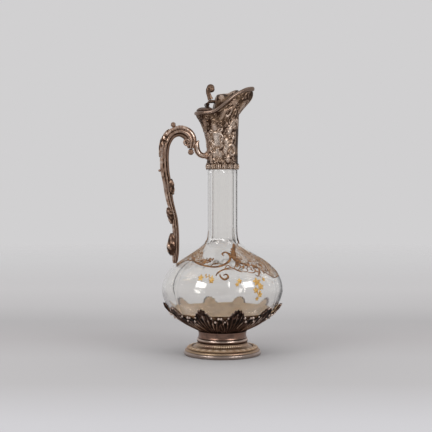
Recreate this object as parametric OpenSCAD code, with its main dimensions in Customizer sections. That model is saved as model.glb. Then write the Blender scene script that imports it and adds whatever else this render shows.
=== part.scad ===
// Claret jug: lobed glass body in a silver foot, with a chased neck mount,
// a scroll handle and a hinged lid. The spout points along +X, the handle along -X,
// and the foot stands on the plane z = 0 with its centre at the origin.

/* [Foot] */
// Outer radius of the foot
foot_r = 41; // [39:0.5:43]
// Height of the rolled rim that stands on the table
rim_h = 4.6; // [4:0.2:5.4]
// Height from the rim to the top of the domed foot
foot_rise = 8.4; // [8:0.2:10]
// Thickness of the silver sheet in the foot
sheet = 1.2; // [1:0.1:1.5]
// Radius of the plain band above the foot
band_r = 25.4; // [25:0.1:26]
// Height of the half-round ring between foot and band
ring_h = 5.2; // [4:0.2:6]
// Height of the plain band
band_h = 6.8; // [6:0.2:8]
// Number of small leaves round the foot
foot_leaves = 30; // [24:1:34]

/* [Bowl] */
// Radius of the glass bowl at the crest of its lobes
bowl_r = 64; // [62:0.5:66]
// Height of the bowl from its base to the foot of the neck
bowl_h = 92; // [88:1:96]
// How far the valleys between the lobes sink, as a share of the radius
lobe_depth = 0.05; // [0.02:0.005:0.055]
// Thickness of the glass in the bowl
bowl_wall = 4; // [3:0.2:4.4]
// Height of the tall leaves of the calyx above the base of the glass
leaf_rise = 26.5; // [24:0.5:29]
// Number of tall leaves round the calyx
leaves = 10; // [8:1:12]

/* [Neck] */
// Radius of the glass neck at its corners
neck_r = 16.9; // [16.5:0.1:17.3]
// Radius of the bore of the glass neck
bore_r = 12; // [10.5:0.1:12.2]
// Visible length of the glass neck below the collar
neck_h = 75.6; // [66:0.2:80]

/* [Collar] */
// Outer radius of the collar where it grips the neck
collar_r = 16.5; // [16.3:0.1:17.2]
// Depth to which the neck of the glass stands in the collar
grip_h = 20; // [18.5:0.5:21]
// Thickness of the collar's chased sheet
collar_wall = 1; // [0.8:0.1:1.2]
// Height of the mouth at the back, above the lower edge of the collar
back_h = 58.6; // [56:0.2:62]
// How much higher the lip of the spout stands than the back of the mouth
spout_rise = 26.6; // [23:0.1:28]
// Reach of the spout in front of the jug's axis
spout_x = 32.5; // [30:0.5:34]
// Reach of the mouth behind the jug's axis
back_x = 28.3; // [27.5:0.1:29]
// Half width of the mouth at its widest
mouth_w = 19; // [18:0.2:20]

/* [Lid and hinge] */
// Distance of the hinge axis behind the jug's axis
hinge_x = 16.5; // [16:0.1:17]
// Height of the hinge axis above the rim at the back
hinge_up = 9.3; // [9:0.1:10]
// Radius of the hinge barrel
barrel_r = 2; // [1.8:0.05:2.2]
// Radius of the hinge pin
pin_r = 0.9; // [0.8:0.05:1]
// Height of the lid's dome above the rim
dome_h = 13; // [11:0.2:14]

/* [Handle] */
// Distance from the jug's axis to the middle of the handle's back
handle_reach = 61.6; // [59:0.2:64]
// Height of the handle's bracket above the lower edge of the collar
bracket_h = 15; // [14:0.2:17]
// Half depth of the handle, across its scroll
handle_depth = 3.7; // [3.2:0.1:4.2]

/* [Hidden] */
$fn = 96;

silver = "#9a8069";
dark_silver = "#6d594c";
glass = [0.85, 0.92, 0.93, 0.45];
plaster = "#cfc7b8";

// Clearances between pieces that are soldered or bedded together, and round moving ones
seat_gap = 0.05;
facet_gap = 0.12;
leaf_gap = 0.42;
leaf_margin = 0.6;
lid_gap = 0.45;
pin_gap = 0.05;
knuckle_gap = 0.3;
// Heights of the joints between the pieces, from the table up
foot_top = rim_h + foot_rise;
ring_top = foot_top + ring_h;
band_top = ring_top + band_h;
cup_floor = 1.4;
bed = 1.6;
glass_z = band_top + cup_floor + bed;
neck_z = glass_z + bowl_h;
collar_z = neck_z + neck_h;
rim_back_z = collar_z + back_h;
axis_z = rim_back_z + hinge_up;
plate_t = 0.8;
deck_top = axis_z - barrel_r - knuckle_gap - plate_t - seat_gap;
neck_top = collar_z + grip_h;
// Radius of the glass where it is turned down to sit in the collar
tenon_r = 14.5;
lobes = 6;
lobe_step = 360 / lobes;
// Middle of the mouth's plan, where the front and back halves of its outline meet
mid_x = -4;
front_a = spout_x - mid_x;
back_a = back_x + mid_x;
narrowing = 0.4;
// Half sizes of the rounded rim moulding
wire_a = 1.5;
wire_b = 1.9;

// Smooth curve through four points, at t between the middle two
function curve(a, b, c, d, t) =
    0.5 * (2 * b + (c - a) * t + (2 * a - 5 * b + 4 * c - d) * t * t
        + (3 * b - a - 3 * c + d) * t * t * t);
// Smooth curve through the points p, with n steps from each point to the next
function spline(p, n) = concat(
    [for (i = [0:len(p) - 2], k = [0:n - 1])
        curve(p[max(i - 1, 0)], p[i], p[i + 1], p[min(i + 2, len(p) - 1)], k / n)],
    [p[len(p) - 1]]);
function mix(a, b, t) = a + (b - a) * t;
function clamp01(t) = min(1, max(0, t));
function ease(t) = let (c = clamp01(t)) c * c * (3 - 2 * c);
function reversed(p) = [for (i = [len(p) - 1:-1:0]) p[i]];
// Angle from the middle of the nearest of n equal sectors
function off_middle(a, n) = a - 360 / n * round(a * n / 360);

// Triangles that close a ring of n points, in a strip from its first and last point, so that a
// crescent is closed as well as an oval
function cap(n) = [for (i = [0:floor((n - 3) / 2)])
    each concat([[i, i + 1, n - 1 - i]], i + 1 < n - 2 - i ? [[i + 1, n - 2 - i, n - 1 - i]] : [])];

// Solid through rings of points, each ring anticlockwise seen from its far end
module ring_solid(rings, looped = false) {
    n = len(rings[0]);
    m = len(rings);
    top = (m - 1) * n;
    sides = [for (r = [0:looped ? m - 1 : m - 2], i = [0:n - 1])
        let (s = (r + 1) % m, j = (i + 1) % n)
        each [[r * n + i, s * n + i, s * n + j], [r * n + i, s * n + j, r * n + j]]];
    start = cap(n);
    end = [for (f = start) [for (i = reversed(f)) top + i]];
    polyhedron(
        points = [for (ring = rings) each ring],
        faces = looped ? sides : concat(sides, start, end),
        convexity = 8);
}

// Solid swept along a path in the XZ plane; each row is [x, z, half width, half depth]
module sweep(path, n = 12) {
    ring_solid([for (i = [0:len(path) - 1])
        let (p = path[i], q = path[min(i + 1, len(path) - 1)] - path[max(i - 1, 0)],
             size = norm([q[0], q[1]]), tx = q[0] / size, tz = q[1] / size)
        [for (k = [0:n - 1]) let (a = 360 * k / n)
            [p[0] - tz * p[2] * cos(a), -p[3] * sin(a), p[1] + tx * p[2] * cos(a)]]]);
}

// Closed moulding along the plan curve c, with half sizes a across and b upright
module moulding(c, a, b, n = 8) {
    m = len(c);
    ring_solid([for (i = [0:m - 1])
        let (t = c[(i + 1) % m] - c[(i + m - 1) % m], size = norm([t[0], t[1]]))
        [for (k = [0:n - 1]) let (f = 360 * k / n)
            c[i] + [t[1] / size * a * cos(f), -t[0] / size * a * cos(f), -b * sin(f)]]],
        looped = true);
}

// Domed sheet over a plan outline: inner and outer faces meet at the outline
module dome_sheet(outer, inner, steps) {
    ring_solid(concat([for (t = steps) inner(t)], [for (t = reversed(steps)) outer(t)]));
}

// Radius of the bowl at its crests, from the base of the glass to the foot of the neck
bowl_curve = spline([
    [bowl_r * 0.375, glass_z],
    [bowl_r * 0.531, glass_z + bowl_h * 0.043],
    [bowl_r * 0.704, glass_z + bowl_h * 0.115],
    [bowl_r * 0.831, glass_z + bowl_h * 0.185],
    [bowl_r * 0.936, glass_z + bowl_h * 0.288],
    [bowl_r * 0.994, glass_z + bowl_h * 0.392],
    [bowl_r, glass_z + bowl_h * 0.472],
    [bowl_r * 0.969, glass_z + bowl_h * 0.563],
    [bowl_r * 0.892, glass_z + bowl_h * 0.663],
    [bowl_r * 0.719, glass_z + bowl_h * 0.77],
    [bowl_r * 0.487, glass_z + bowl_h * 0.873],
    [neck_r + 4.6, glass_z + bowl_h * 0.95],
    [neck_r + 1.3, neck_z + 1],
    [neck_r, neck_z + 9],
], 2);
bowl_top = len(bowl_curve) - 1;
belly = 12;
// Height of the shoulder of the bowl above a given radius
shoulder = [for (i = [bowl_top:-1:belly]) bowl_curve[i]];
// How strongly the lobes show at a height
function lobe_share(z) = ease((z - glass_z - bowl_h * 0.1) / (bowl_h * 0.3))
    * ease((neck_z - 2 - z) / (bowl_h * 0.12));
// How strongly the flats of the neck show at a height
function flat_share(z) = 0.88 * ease((z - neck_z + 6) / 10)
    * ease((collar_z + 1.5 - z) / 3);
function glass_shape(a, z) = let (d = off_middle(a, lobes))
    1 - lobe_depth * lobe_share(z) * (1 - cos(d * 180 / lobe_step))
    - flat_share(z) * (1 - cos(lobe_step / 2) / cos(d));
glass_curve = concat(bowl_curve, [
    [neck_r, mix(neck_z + 9, collar_z, 0.5)],
    [neck_r, collar_z - 1.3],
    [neck_r - 0.5, collar_z - 0.6],
    [tenon_r + 0.2, collar_z - 0.2],
    [tenon_r, collar_z + 1.5],
    [tenon_r, neck_top],
]);

// Rim of the mouth: half width at x, plan point at angle u, and height at x
function rim_w(x) = let (c = (x - mid_x) / (x > mid_x ? front_a : back_a))
    mouth_w * sqrt(max(0, 1 - c * c)) * (1 - narrowing * pow(max(0, c), 2));
function rim_xy(u) = [
    mid_x + (cos(u) > 0 ? front_a : back_a) * cos(u),
    mouth_w * sin(u) * (1 - narrowing * pow(max(0, cos(u)), 2)),
];
rim_line = spline([
    [-back_x - 3, 0],
    [mid_x - back_a * 0.6, 0.01],
    [mid_x - back_a * 0.26, 0.086],
    [mid_x + front_a * 0.1, 0.36],
    [mid_x + front_a * 0.36, 0.65],
    [mid_x + front_a * 0.58, 0.825],
    [mid_x + front_a * 0.8, 0.945],
    [spout_x + 3, 1],
], 3);
function rim_z(x) = rim_back_z + spout_rise * lookup(x, rim_line);

module foot_rim() {
    color(silver)
    rotate_extrude()
    difference() {
        union() {
            translate([foot_r - 3.5, 0])
            square([2.6, rim_h]);
            translate([foot_r - rim_h / 2, rim_h / 2])
            circle(d = rim_h, $fn = 40);
            translate([foot_r - rim_h / 2 - 0.4, 0])
            square([1.6, 1]);
        }
        translate([foot_r - 10, -1])
        square([6.5, rim_h + 2]);
        translate([foot_r - 12, -2])
        square([14, 2]);
    }
}

// Radius of the foot at a share of the way from the band out to the rim
function foot_at(t) = mix(band_r, foot_r, t);
// Outer face of the domed foot, from the rim to the ring
foot_face = spline([
    [foot_at(0.9167), rim_h + seat_gap],
    [foot_at(0.8782), rim_h + foot_rise * 0.16],
    [foot_at(0.7564), rim_h + foot_rise * 0.28],
    [foot_at(0.4872), rim_h + foot_rise * 0.405],
    [foot_at(0.3205), rim_h + foot_rise * 0.51],
    [foot_at(0.1795), rim_h + foot_rise * 0.64],
    [foot_at(0.1026), rim_h + foot_rise * 0.78],
    [foot_at(0.0897), foot_top],
], 3);

module foot_shell() {
    color(silver)
    rotate_extrude()
    polygon(concat(foot_face, [
        [band_r - 1.5, foot_top],
        [band_r - 1.5, foot_top - sheet],
        [band_r + 0.2, foot_top - sheet],
        [band_r + 0.5, rim_h + foot_rise * 0.74 - sheet],
        [foot_at(0.1538), rim_h + foot_rise * 0.62 - sheet],
        [foot_at(0.4872), rim_h + foot_rise * 0.405 - sheet * 1.1],
        [foot_at(0.7436), rim_h + seat_gap],
    ]));
}

// Ring of small raised leaves lying on the slope of the foot
module foot_leaf_border() {
    n = foot_leaves * 3;
    inner = [foot_at(0.4487), rim_h + foot_rise * 0.435];
    outer = [foot_at(0.7821), rim_h + foot_rise * 0.275];
    function lie(t, up) = [mix(inner[0], outer[0], t), mix(inner[1], outer[1], t) + up];
    function leaf(a, t) = 0.45 + 0.8 * sin(180 * t) * pow(abs(cos(a * foot_leaves / 2)), 0.7);
    color(silver)
    ring_solid(concat(
        [for (t = [0, 1]) [for (i = [0:n - 1]) let (a = 360 * i / n, p = lie(t, 0.42))
            [p[0] * cos(a), p[0] * sin(a), p[1]]]],
        [for (t = [0.94, 0.5, 0.06]) [for (i = [0:n - 1])
            let (a = 360 * i / n, p = lie(t, 0.42 + leaf(a, t)))
            [p[0] * cos(a), p[0] * sin(a), p[1]]]]),
        looped = true);
}

module stem_ring() {
    color(silver)
    rotate_extrude()
    difference() {
        union() {
            translate([band_r - 0.9, foot_top + ring_h / 2])
            circle(d = ring_h - 2 * seat_gap, $fn = 40);
            translate([band_r - 2, foot_top + seat_gap])
            square([1.6, ring_h - 2 * seat_gap]);
        }
        translate([band_r - 6, foot_top - 1])
        square([4, ring_h + 2]);
    }
}

module base_band() {
    color(silver)
    rotate_extrude()
    polygon(concat(
        spline([
            [band_r + 0.5, ring_top + seat_gap],
            [band_r, ring_top + band_h * 0.2],
            [band_r - 0.25, ring_top + band_h * 0.55],
            [band_r + 0.3, band_top - seat_gap],
        ], 3),
        [[band_r - 2, band_top - seat_gap], [band_r - 2, ring_top + seat_gap]]));
}

// Face of the calyx outside the bowl, from its floor to the tips of the leaves
cup_curve = spline([
    [band_r + 0.1, band_top],
    [band_r + 1.4, band_top + 1.4],
    [bowl_r * 0.522, glass_z + bowl_h * 0.02],
    [bowl_r * 0.674, glass_z + bowl_h * 0.083],
    [bowl_r * 0.819, glass_z + bowl_h * 0.158],
    [bowl_r * 0.906, glass_z + bowl_h * 0.225],
    [bowl_r * 0.958, glass_z + bowl_h * 0.288],
    [bowl_r * 0.99, glass_z + bowl_h * 0.36],
], 3);
cup_radius = [for (p = cup_curve) [p[1], p[0]]];
// Height of the leafy edge: tall leaves with short ones between them
function leaf_edge(a) = let (d = abs(off_middle(a, leaves)) * leaves / 180)
    glass_z + leaf_rise * max(0.42 + 0.58 * pow(max(0, cos(90 * d / 0.8)), 0.8),
        0.42 + 0.2 * cos(90 * clamp01(abs(1 - d) / 0.34)));

module calyx() {
    n = leaves * 12;
    turn = -11;
    rows = [0, 0.06, 0.2, 0.38, 0.56, 0.74, 0.9, 1];
    // Ribbed relief of the leaves, growing from the base and dying at the tips
    function relief(a, t) = 0.9 * sin(160 * t) * pow(abs(cos(a * leaves / 2)), 1.6);
    function at(a, z, r) = [r * cos(a + turn), r * sin(a + turn), z];
    color(silver)
    difference() {
        ring_solid(concat(
            [for (t = rows) [for (i = [0:n - 1])
                let (a = 360 * i / n, z = mix(band_top, leaf_edge(a), t))
                at(a, z, lookup(z, cup_radius) + relief(a, t))]],
            [[for (i = [0:n - 1]) let (a = 360 * i / n, z = leaf_edge(a))
                at(a, z + 1.6, lookup(z, cup_radius) - 5)]],
            [[for (i = [0:n - 1]) at(360 * i / n, glass_z + leaf_rise + 3, 8)]]));
        rotate_extrude()
        polygon(concat(
            [[0, band_top + cup_floor], [bowl_r * 0.36, band_top + cup_floor]],
            [for (p = bowl_curve) if (p[1] < glass_z + leaf_rise + 12) p + [facet_gap, 0]],
            [[0, glass_z + leaf_rise + 12]]));
    }
}

module base_cement() {
    color(plaster)
    translate([0, 0, band_top + cup_floor + seat_gap])
    cylinder(r = bowl_r * 0.36 - seat_gap, h = bed - 2 * seat_gap);
}

// Hollow of the bowl, drawn inside the outline of the glass
hollow = concat(
    spline([
        [bowl_r * 0.02, glass_z + 5],
        [bowl_r * 0.3, glass_z + 5.6],
        [bowl_r * 0.53, glass_z + bowl_h * 0.11],
        [bowl_r * 0.69, glass_z + bowl_h * 0.165],
        [bowl_r * 0.94 - bowl_wall * 1.5, glass_z + bowl_h * 0.288],
        [bowl_r - bowl_wall * 1.5, glass_z + bowl_h * 0.43],
        [bowl_r * 0.985 - bowl_wall * 1.5, glass_z + bowl_h * 0.52],
        [bowl_r * 0.892 - bowl_wall * 1.9, glass_z + bowl_h * 0.65],
        [bowl_r * 0.719 - bowl_wall * 2, glass_z + bowl_h * 0.75],
        [bowl_r * 0.487 - bowl_wall * 1.6, glass_z + bowl_h * 0.87],
        [bore_r + 3.4, glass_z + bowl_h * 0.97],
        [bore_r + 0.8, neck_z + 5],
        [bore_r, neck_z + 14],
    ], 2),
    [[bore_r, neck_top + 1], [0, neck_top + 1], [0, glass_z + 5]]);

module glass_body() {
    n = 60;
    color(glass)
    difference() {
        ring_solid([for (p = glass_curve) [for (i = [0:n - 1])
            let (a = 360 * i / n, r = p[0] * glass_shape(a, p[1]))
            [r * cos(a), r * sin(a), p[1]]]]);
        rotate_extrude()
        polygon(hollow);
    }
}

module neck_cement() {
    color(plaster)
    translate([0, 0, collar_z + 2])
    difference() {
        cylinder(r = collar_r - collar_wall - facet_gap - 0.1, h = grip_h * 0.85);
        translate([0, 0, -1])
        cylinder(r = tenon_r + facet_gap, h = grip_h);
    }
}

// Wall of the collar: round below, growing into the mouth with its spout
module neck_collar() {
    n = 48;
    flare_z = collar_z + grip_h * 0.9;
    rows = [0, 0.2, 0.38, 0.52, 0.64, 0.74, 0.82, 0.89, 0.95, 1];
    function swell(u, s) = let (front = pow(max(0, cos(u)), 2))
        mix(pow(s, 2.2), 0.06 * ease(s / 0.6) + 0.94 * ease((s - 0.57) / 0.37), front);
    function wall(u, s, inset) = let (
        r = collar_r - inset, g = swell(u, s), q = rim_xy(u), size = norm(q),
        top = q * (size - inset) / size)
        [mix(r * cos(u), top[0], g), mix(r * sin(u), top[1], g),
            mix(flare_z, rim_z(q[0]) - wire_b - seat_gap, s)];
    color(silver)
    ring_solid(concat(
        [[for (i = [0:n - 1]) let (u = 360 * i / n) [collar_r * cos(u), collar_r * sin(u), collar_z]]],
        [for (s = rows) [for (i = [0:n - 1]) wall(360 * i / n, s, 0)]],
        [for (s = reversed(rows)) [for (i = [0:n - 1]) wall(360 * i / n, s, collar_wall)]],
        [[for (i = [0:n - 1]) let (u = 360 * i / n, r = collar_r - collar_wall)
            [r * cos(u), r * sin(u), collar_z]]]),
        looped = true);
}

module collar_leaf_border() {
    tips = 16;
    n = tips * 5;
    function low(a) = collar_z + grip_h * (0.03 - 0.05 * abs(cos(a * tips / 2)));
    function high(a) = collar_z + grip_h * (0.27 + 0.045 * cos(a * tips));
    function band(r, t) = [for (i = [0:n - 1]) let (a = 360 * i / n)
        [r * cos(a), r * sin(a), mix(low(a), high(a), t)]];
    color(dark_silver)
    ring_solid([
        band(collar_r + facet_gap, 0),
        band(collar_r + 0.8, 0),
        band(collar_r + 1.1, 0.45),
        band(collar_r + 0.7, 1),
        band(collar_r + facet_gap, 1),
    ], looped = true);
}

module mouth_rim() {
    n = 56;
    color(silver)
    moulding([for (i = [0:n - 1]) let (q = rim_xy(360 * i / n)) [q[0], q[1], rim_z(q[0])]],
        wire_a, wire_b);
}

// Rounded plate that closes the mouth behind the lid and carries the hinge
module rear_deck() {
    n = 32;
    front = -hinge_x + 3.7;
    inset = 0.7;
    pole = [-hinge_x - 1.5, 0];
    seat = wire_b + seat_gap;
    // Angle at which the mouth's outline crosses the front edge of the plate
    cross = acos((front - mid_x) / back_a);
    edge = concat(
        [for (i = [0:n - 8]) let (q = rim_xy(mix(cross, 360 - cross, i / (n - 8))), s = norm(q - pole))
            pole + (q - pole) * (s - inset) / s],
        [for (i = [1:7]) let (w = rim_w(front) - inset) [front, mix(-w, w, i / 8)]]);
    function sheet_z(p, t, up) = mix(deck_top + up - 1, rim_z(p[0]) + seat + up, pow(t, 4));
    function top_face(t) = [for (p = edge) let (q = pole + (p - pole) * t)
        [q[0], q[1], sheet_z(p, t, 1)]];
    function low_face(t) = [for (p = edge) let (q = pole + (p - pole) * t * 0.94)
        [q[0], q[1], sheet_z(p, t, 0)]];
    color(silver)
    dome_sheet(function(t) top_face(t), function(t) low_face(t), [0.1, 0.45, 0.7, 0.88, 1]);
}

knuckle = 4.2;

module hinge_plate() {
    color(silver)
    difference() {
        union() {
            translate([-hinge_x - 2, -6.4, deck_top + seat_gap])
            cube([4, 12.8, plate_t]);
            for (s = [-1, 1]) {
                translate([-hinge_x, s * (2.2 + knuckle / 2), axis_z])
                rotate([90, 0, 0])
                cylinder(r = barrel_r, h = knuckle, center = true, $fn = 48);
                translate([-hinge_x - 1.4, s * (2.2 + knuckle / 2) - knuckle / 2, deck_top + plate_t / 2])
                cube([2.8, knuckle, barrel_r + 0.6]);
            }
        }
        translate([-hinge_x, 0, axis_z])
        rotate([90, 0, 0])
        cylinder(r = pin_r + 0.01, h = 30, center = true, $fn = 48);
    }
}

module hinge_pin() {
    color(silver)
    translate([-hinge_x, 0, axis_z])
    rotate([90, 0, 0])
    cylinder(r = pin_r, h = 2 * (2.2 + knuckle) + 0.4, center = true, $fn = 48);
}

module pin_caps() {
    reach = 2.2 + knuckle + 0.2 + seat_gap;
    color(silver)
    for (s = [-1, 1])
    translate([-hinge_x, s * reach, axis_z])
    rotate([-90 * s, 0, 0])
    intersection() {
        sphere(r = 1.5, $fn = 40);
        cylinder(r = 2, h = 2);
    }
}

// Handle: rows of x and height as shares of its reach and length, then half width in mm
bracket_z = collar_z + bracket_h;
// The volute hangs a fixed way out from the collar, and the back of the handle at its reach
volute_x = collar_r + 17.07;
function handle_x(fx) = -mix(volute_x, handle_reach, (fx - 0.545) / 0.455);
tip_x = handle_x(0.82);
tip_z = lookup(-tip_x, shoulder) + 1.8;
function handle_row(fx, fz, w, d = 1) = [
    handle_x(fx), mix(tip_z, bracket_z, fz), w, handle_depth * d,
];
handle_path = spline([
    handle_row(0.551, 1.06, 2.8, 0.7),
    handle_row(0.545, 1.105, 5.4),
    handle_row(0.553, 1.15, 6.4),
    handle_row(0.607, 1.195, 6.5),
    handle_row(0.708, 1.22, 6.1),
    handle_row(0.8, 1.214, 5.5),
    handle_row(0.883, 1.186, 5.2),
    handle_row(0.943, 1.138, 4.9),
    handle_row(0.982, 1.078, 4.8),
    handle_row(0.996, 0.98, 4.7),
    handle_row(0.988, 0.862, 4.7),
    handle_row(0.958, 0.765, 4.4),
    handle_row(0.924, 0.635, 4.1),
    handle_row(0.896, 0.56, 3.7),
    handle_row(0.856, 0.48, 3.4),
    handle_row(0.822, 0.4, 3.4),
    handle_row(0.802, 0.27, 3.4),
    handle_row(0.802, 0.12, 3.4),
    handle_row(0.814, 0.04, 3.1, 0.9),
    handle_row(0.82, 0, 2, 0.6),
], 2);
handle_span = len(handle_path) - 1;

module handle_scroll() {
    color(silver)
    sweep(handle_path);
}

// Leaf wrapped on the outer (side = 1) or inner (side = -1) face of the handle
module applied_leaf(from, to, thick, side, spread = 80) {
    arc = 6;
    steps = to - from;
    function frame_at(i) = let (q = handle_path[i + 1] - handle_path[i - 1], s = norm([q[0], q[1]]))
        [q[0] / s, q[1] / s];
    function place(p, f, out, deep) = [
        p[0] + f[1] * side * out, deep, p[1] - f[0] * side * out];
    ring = function(i) let (
        p = handle_path[i], f = frame_at(i), grow = sin(180 * clamp01((i - from + 0.35) / (steps + 0.7))),
        lift = 0.15 + 0.3 + thick * grow, half = spread * (0.35 + 0.65 * grow))
        concat(
            [for (k = [0:arc]) let (a = mix(-half, half, k / arc))
                place(p, f, (p[2] + leaf_gap) * cos(a), (p[3] + leaf_gap) * sin(a) * side)],
            [for (k = [arc:-1:0]) let (
                a = mix(-half, half, k / arc), e = leaf_gap + max(leaf_margin, lift * cos(a * 85 / half)))
                place(p, f, (p[2] + e) * cos(a), (p[3] + e) * sin(a) * side)]);
    color(dark_silver)
    ring_solid([for (i = [from:to]) reversed(ring(i))]);
}

// Bracket that springs from the collar to the inner side of the scroll
bracket_path = spline([
    [-collar_r - 2.1, bracket_z - 0.5, 2.9, 3.2],
    [-collar_r - 4.4, bracket_z - 0.5, 2.5, 2.9],
    [-collar_r - 7.4, bracket_z + 1, 2.3, 2.7],
    [-collar_r - 9.6, bracket_z + 4.4, 2.2, 2.6],
    [-collar_r - 10.1, bracket_z + 8.6, 2, 2.4],
    [-collar_r - 9.7, bracket_z + 12.6, 1.3, 2],
    [-collar_r - 8.2, bracket_z + 15, 0.5, 1],
], 2);

module handle_bracket() {
    color(silver)
    sweep(bracket_path, 10);
}

// Round rose of the bracket, bedded on the collar
module handle_socket() {
    color(silver)
    difference() {
        translate([-collar_r - 1.8, 0, bracket_z - 0.2])
        rotate([0, 90, 0])
        cylinder(r = 4.2, h = 4, $fn = 48);
        translate([0, 0, collar_z])
        cylinder(r = collar_r + facet_gap, h = 40);
    }
}

module bead(x, z, r) {
    color(silver)
    translate([x, 0, z])
    sphere(r = r, $fn = 40);
}

module handle_bud() {
    bead(handle_path[0][0] + 0.4, handle_path[0][1] - 3.5, 3.3);
}

// Bead that stands off the outer face of the handle at a row of its path
module crest(i, r) {
    q = handle_path[i + 1] - handle_path[i - 1];
    s = norm([q[0], q[1]]);
    off = handle_path[i][2] + r + facet_gap;
    bead(handle_path[i][0] + q[1] / s * off, handle_path[i][1] - q[0] / s * off, r);
}

module handle_crest_bead() {
    crest(10, 2.7);
}

module handle_back_bead() {
    crest(20, 1.3);
}

module handle_upper_acanthus() {
    applied_leaf(12, 17, 1.2, 1);
}

module handle_inner_leaf() {
    applied_leaf(22, 24, 2.4, -1);
}

module handle_lower_acanthus() {
    applied_leaf(27, 30, 3.2, 1);
}

module handle_foot_boss() {
    applied_leaf(32, 35, 6.2, 1);
}

// Lid: half width of its outline at x, and height of its dome over the rim
lid_back = -hinge_x + 4.2;
lid_front = mid_x + front_a * 0.64;
nose = 9.5;
function lid_w(x, inset) = min(rim_w(x) - wire_a - lid_gap - 0.5 - inset,
    x > lid_front - nose
        ? (nose + 2.5 - inset) * sqrt(max(0, 1 - pow((x - lid_front + nose) / (nose - inset), 2)))
        : 99);
dome_line = spline([
    [lid_back + 2.3, 0.07],
    [lid_back + 3, 0.3],
    [lid_back + 3.8, 0.6],
    [lid_back + 4.8, 0.86],
    [lid_back + 6.2, 0.99],
    [lid_back + 9, 0.9],
    [lid_back + 13.4, 0.68],
    [lid_back + 18, 0.42],
    [lid_back + 22, 0.33],
    [lid_back + 27, 0.24],
    [lid_front, 0.1],
], 2);
// Plan outline of the lid, drawn in by an inset: round the front, straight at the back
function lid_edge(inset, n) = let (back = lid_back + inset, front = lid_front - inset)
    concat(
        [for (i = [0:n - 2]) let (x = mix(front - 0.05, back, pow(sin(90 * i / n), 1.4))) [x, lid_w(x, inset)]],
        [for (k = [0:4]) [back, mix(lid_w(back, inset), -lid_w(back, inset), k / 4)]],
        [for (i = [n - 2:-1:1]) let (x = mix(front - 0.05, back, pow(sin(90 * i / n), 1.4))) [x, -lid_w(x, inset)]]);
shell_inset = 2.35;
lid_pole = [lid_back + 7.4, 0];
function dome_z(p) = rim_z(p[0]) + 0.9
    + dome_h * lookup(p[0], dome_line) * pow(max(0, 1 - pow(p[1] / (lid_w(p[0], shell_inset) + 0.01), 2)), 0.7);

module lid_shell() {
    edge = lid_edge(shell_inset, 12);
    function spot(p, t) = lid_pole + (p - lid_pole) * t;
    function top_face(t) = [for (p = edge) let (q = spot(p, t)) [q[0], q[1], dome_z(q)]];
    function low_face(t) = [for (p = edge) let (q = spot(p, t * 0.9)) [q[0], q[1], dome_z(spot(p, t)) - 1.1]];
    color(silver)
    dome_sheet(function(t) top_face(t), function(t) low_face(t), [0.08, 0.35, 0.6, 0.8, 0.93, 1]);
}

module lid_border() {
    color(silver)
    moulding([for (p = lid_edge(0.85, 11)) [p[0], p[1], rim_z(p[0]) + 0.6]], 0.8, 1.1, 6);
}

// Flange under the lid that drops inside the mouth
module lid_bezel() {
    bezel_h = 2.95;
    outer = lid_edge(2.2, 10);
    inner = lid_edge(3.1, 10);
    function row(edge, up) = [for (p = edge) [p[0], p[1], rim_z(p[0]) + up]];
    color(silver)
    ring_solid([row(outer, -bezel_h), row(outer, -0.55), row(inner, -0.55), row(inner, -bezel_h)], looped = true);
}

// Centre knuckle with the strap that arches over to the dome
module lid_knuckle() {
    strap = spline([
        [-hinge_x + 0.2, axis_z + 1, 0.7, 1.7],
        [-hinge_x + 2, axis_z + 2.6, 1.4, 1.9],
        [-hinge_x + 4.1, axis_z + 3.4, 1.8, 2],
        [-hinge_x + 5.8, axis_z + 3.4, 1.8, 2],
        [lid_back + 3.2, axis_z + 3.5, 1.5, 1.9],
    ], 2);
    color(silver)
    difference() {
        union() {
            translate([-hinge_x, 0, axis_z])
            rotate([90, 0, 0])
            cylinder(r = barrel_r, h = 4, center = true, $fn = 48);
            sweep(strap, 8);
        }
        translate([-hinge_x, 0, axis_z])
        rotate([90, 0, 0])
        cylinder(r = pin_r + pin_gap, h = 12, center = true, $fn = 48);
    }
}

module thumbpiece() {
    x = -hinge_x + 3;
    z = axis_z + 5.4;
    color(silver)
    union() {
        sweep(spline([
            [x + 0.9, z, 3, 2.1],
            [x - 0.3, z + 3.2, 2.4, 2],
            [x - 1.5, z + 7.4, 2.3, 2.2],
            [x - 1.2, z + 10.8, 2.5, 2.6],
            [x + 0.4, z + 13.4, 1.9, 2.2],
        ], 2), 10);
        translate([x + 1, 0, z + 12.2])
        sphere(r = 4, $fn = 40);
        translate([x + 2, 0, z + 10.4])
        rotate([90, 0, 0])
        cylinder(r = 2.7, h = 9.4, center = true, $fn = 40);
    }
}

foot_rim();
foot_shell();
foot_leaf_border();
stem_ring();
base_band();
calyx();
base_cement();
glass_body();
neck_cement();
neck_collar();
collar_leaf_border();
mouth_rim();
rear_deck();
hinge_plate();
hinge_pin();
pin_caps();
handle_scroll();
handle_bracket();
handle_socket();
handle_bud();
handle_crest_bead();
handle_back_bead();
handle_upper_acanthus();
handle_inner_leaf();
handle_lower_acanthus();
handle_foot_boss();
lid_knuckle();
lid_shell();
lid_border();
lid_bezel();
thumbpiece();
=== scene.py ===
"""A claret jug, dressed: lobed crystal in chased silver mounts, with gilt scrolls on its shoulder.

Lengths are millimetres until a mesh is made, and the scene itself is in metres. The spout points
along +X, the handle along -X, and the foot stands on z = 0. The sizes in Form repeat those of the
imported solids, so each surface lies on the solid that it replaces.
"""

import logging
import math
from dataclasses import dataclass
from enum import Enum
from typing import Callable, Iterable, Optional, Sequence, Union

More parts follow.
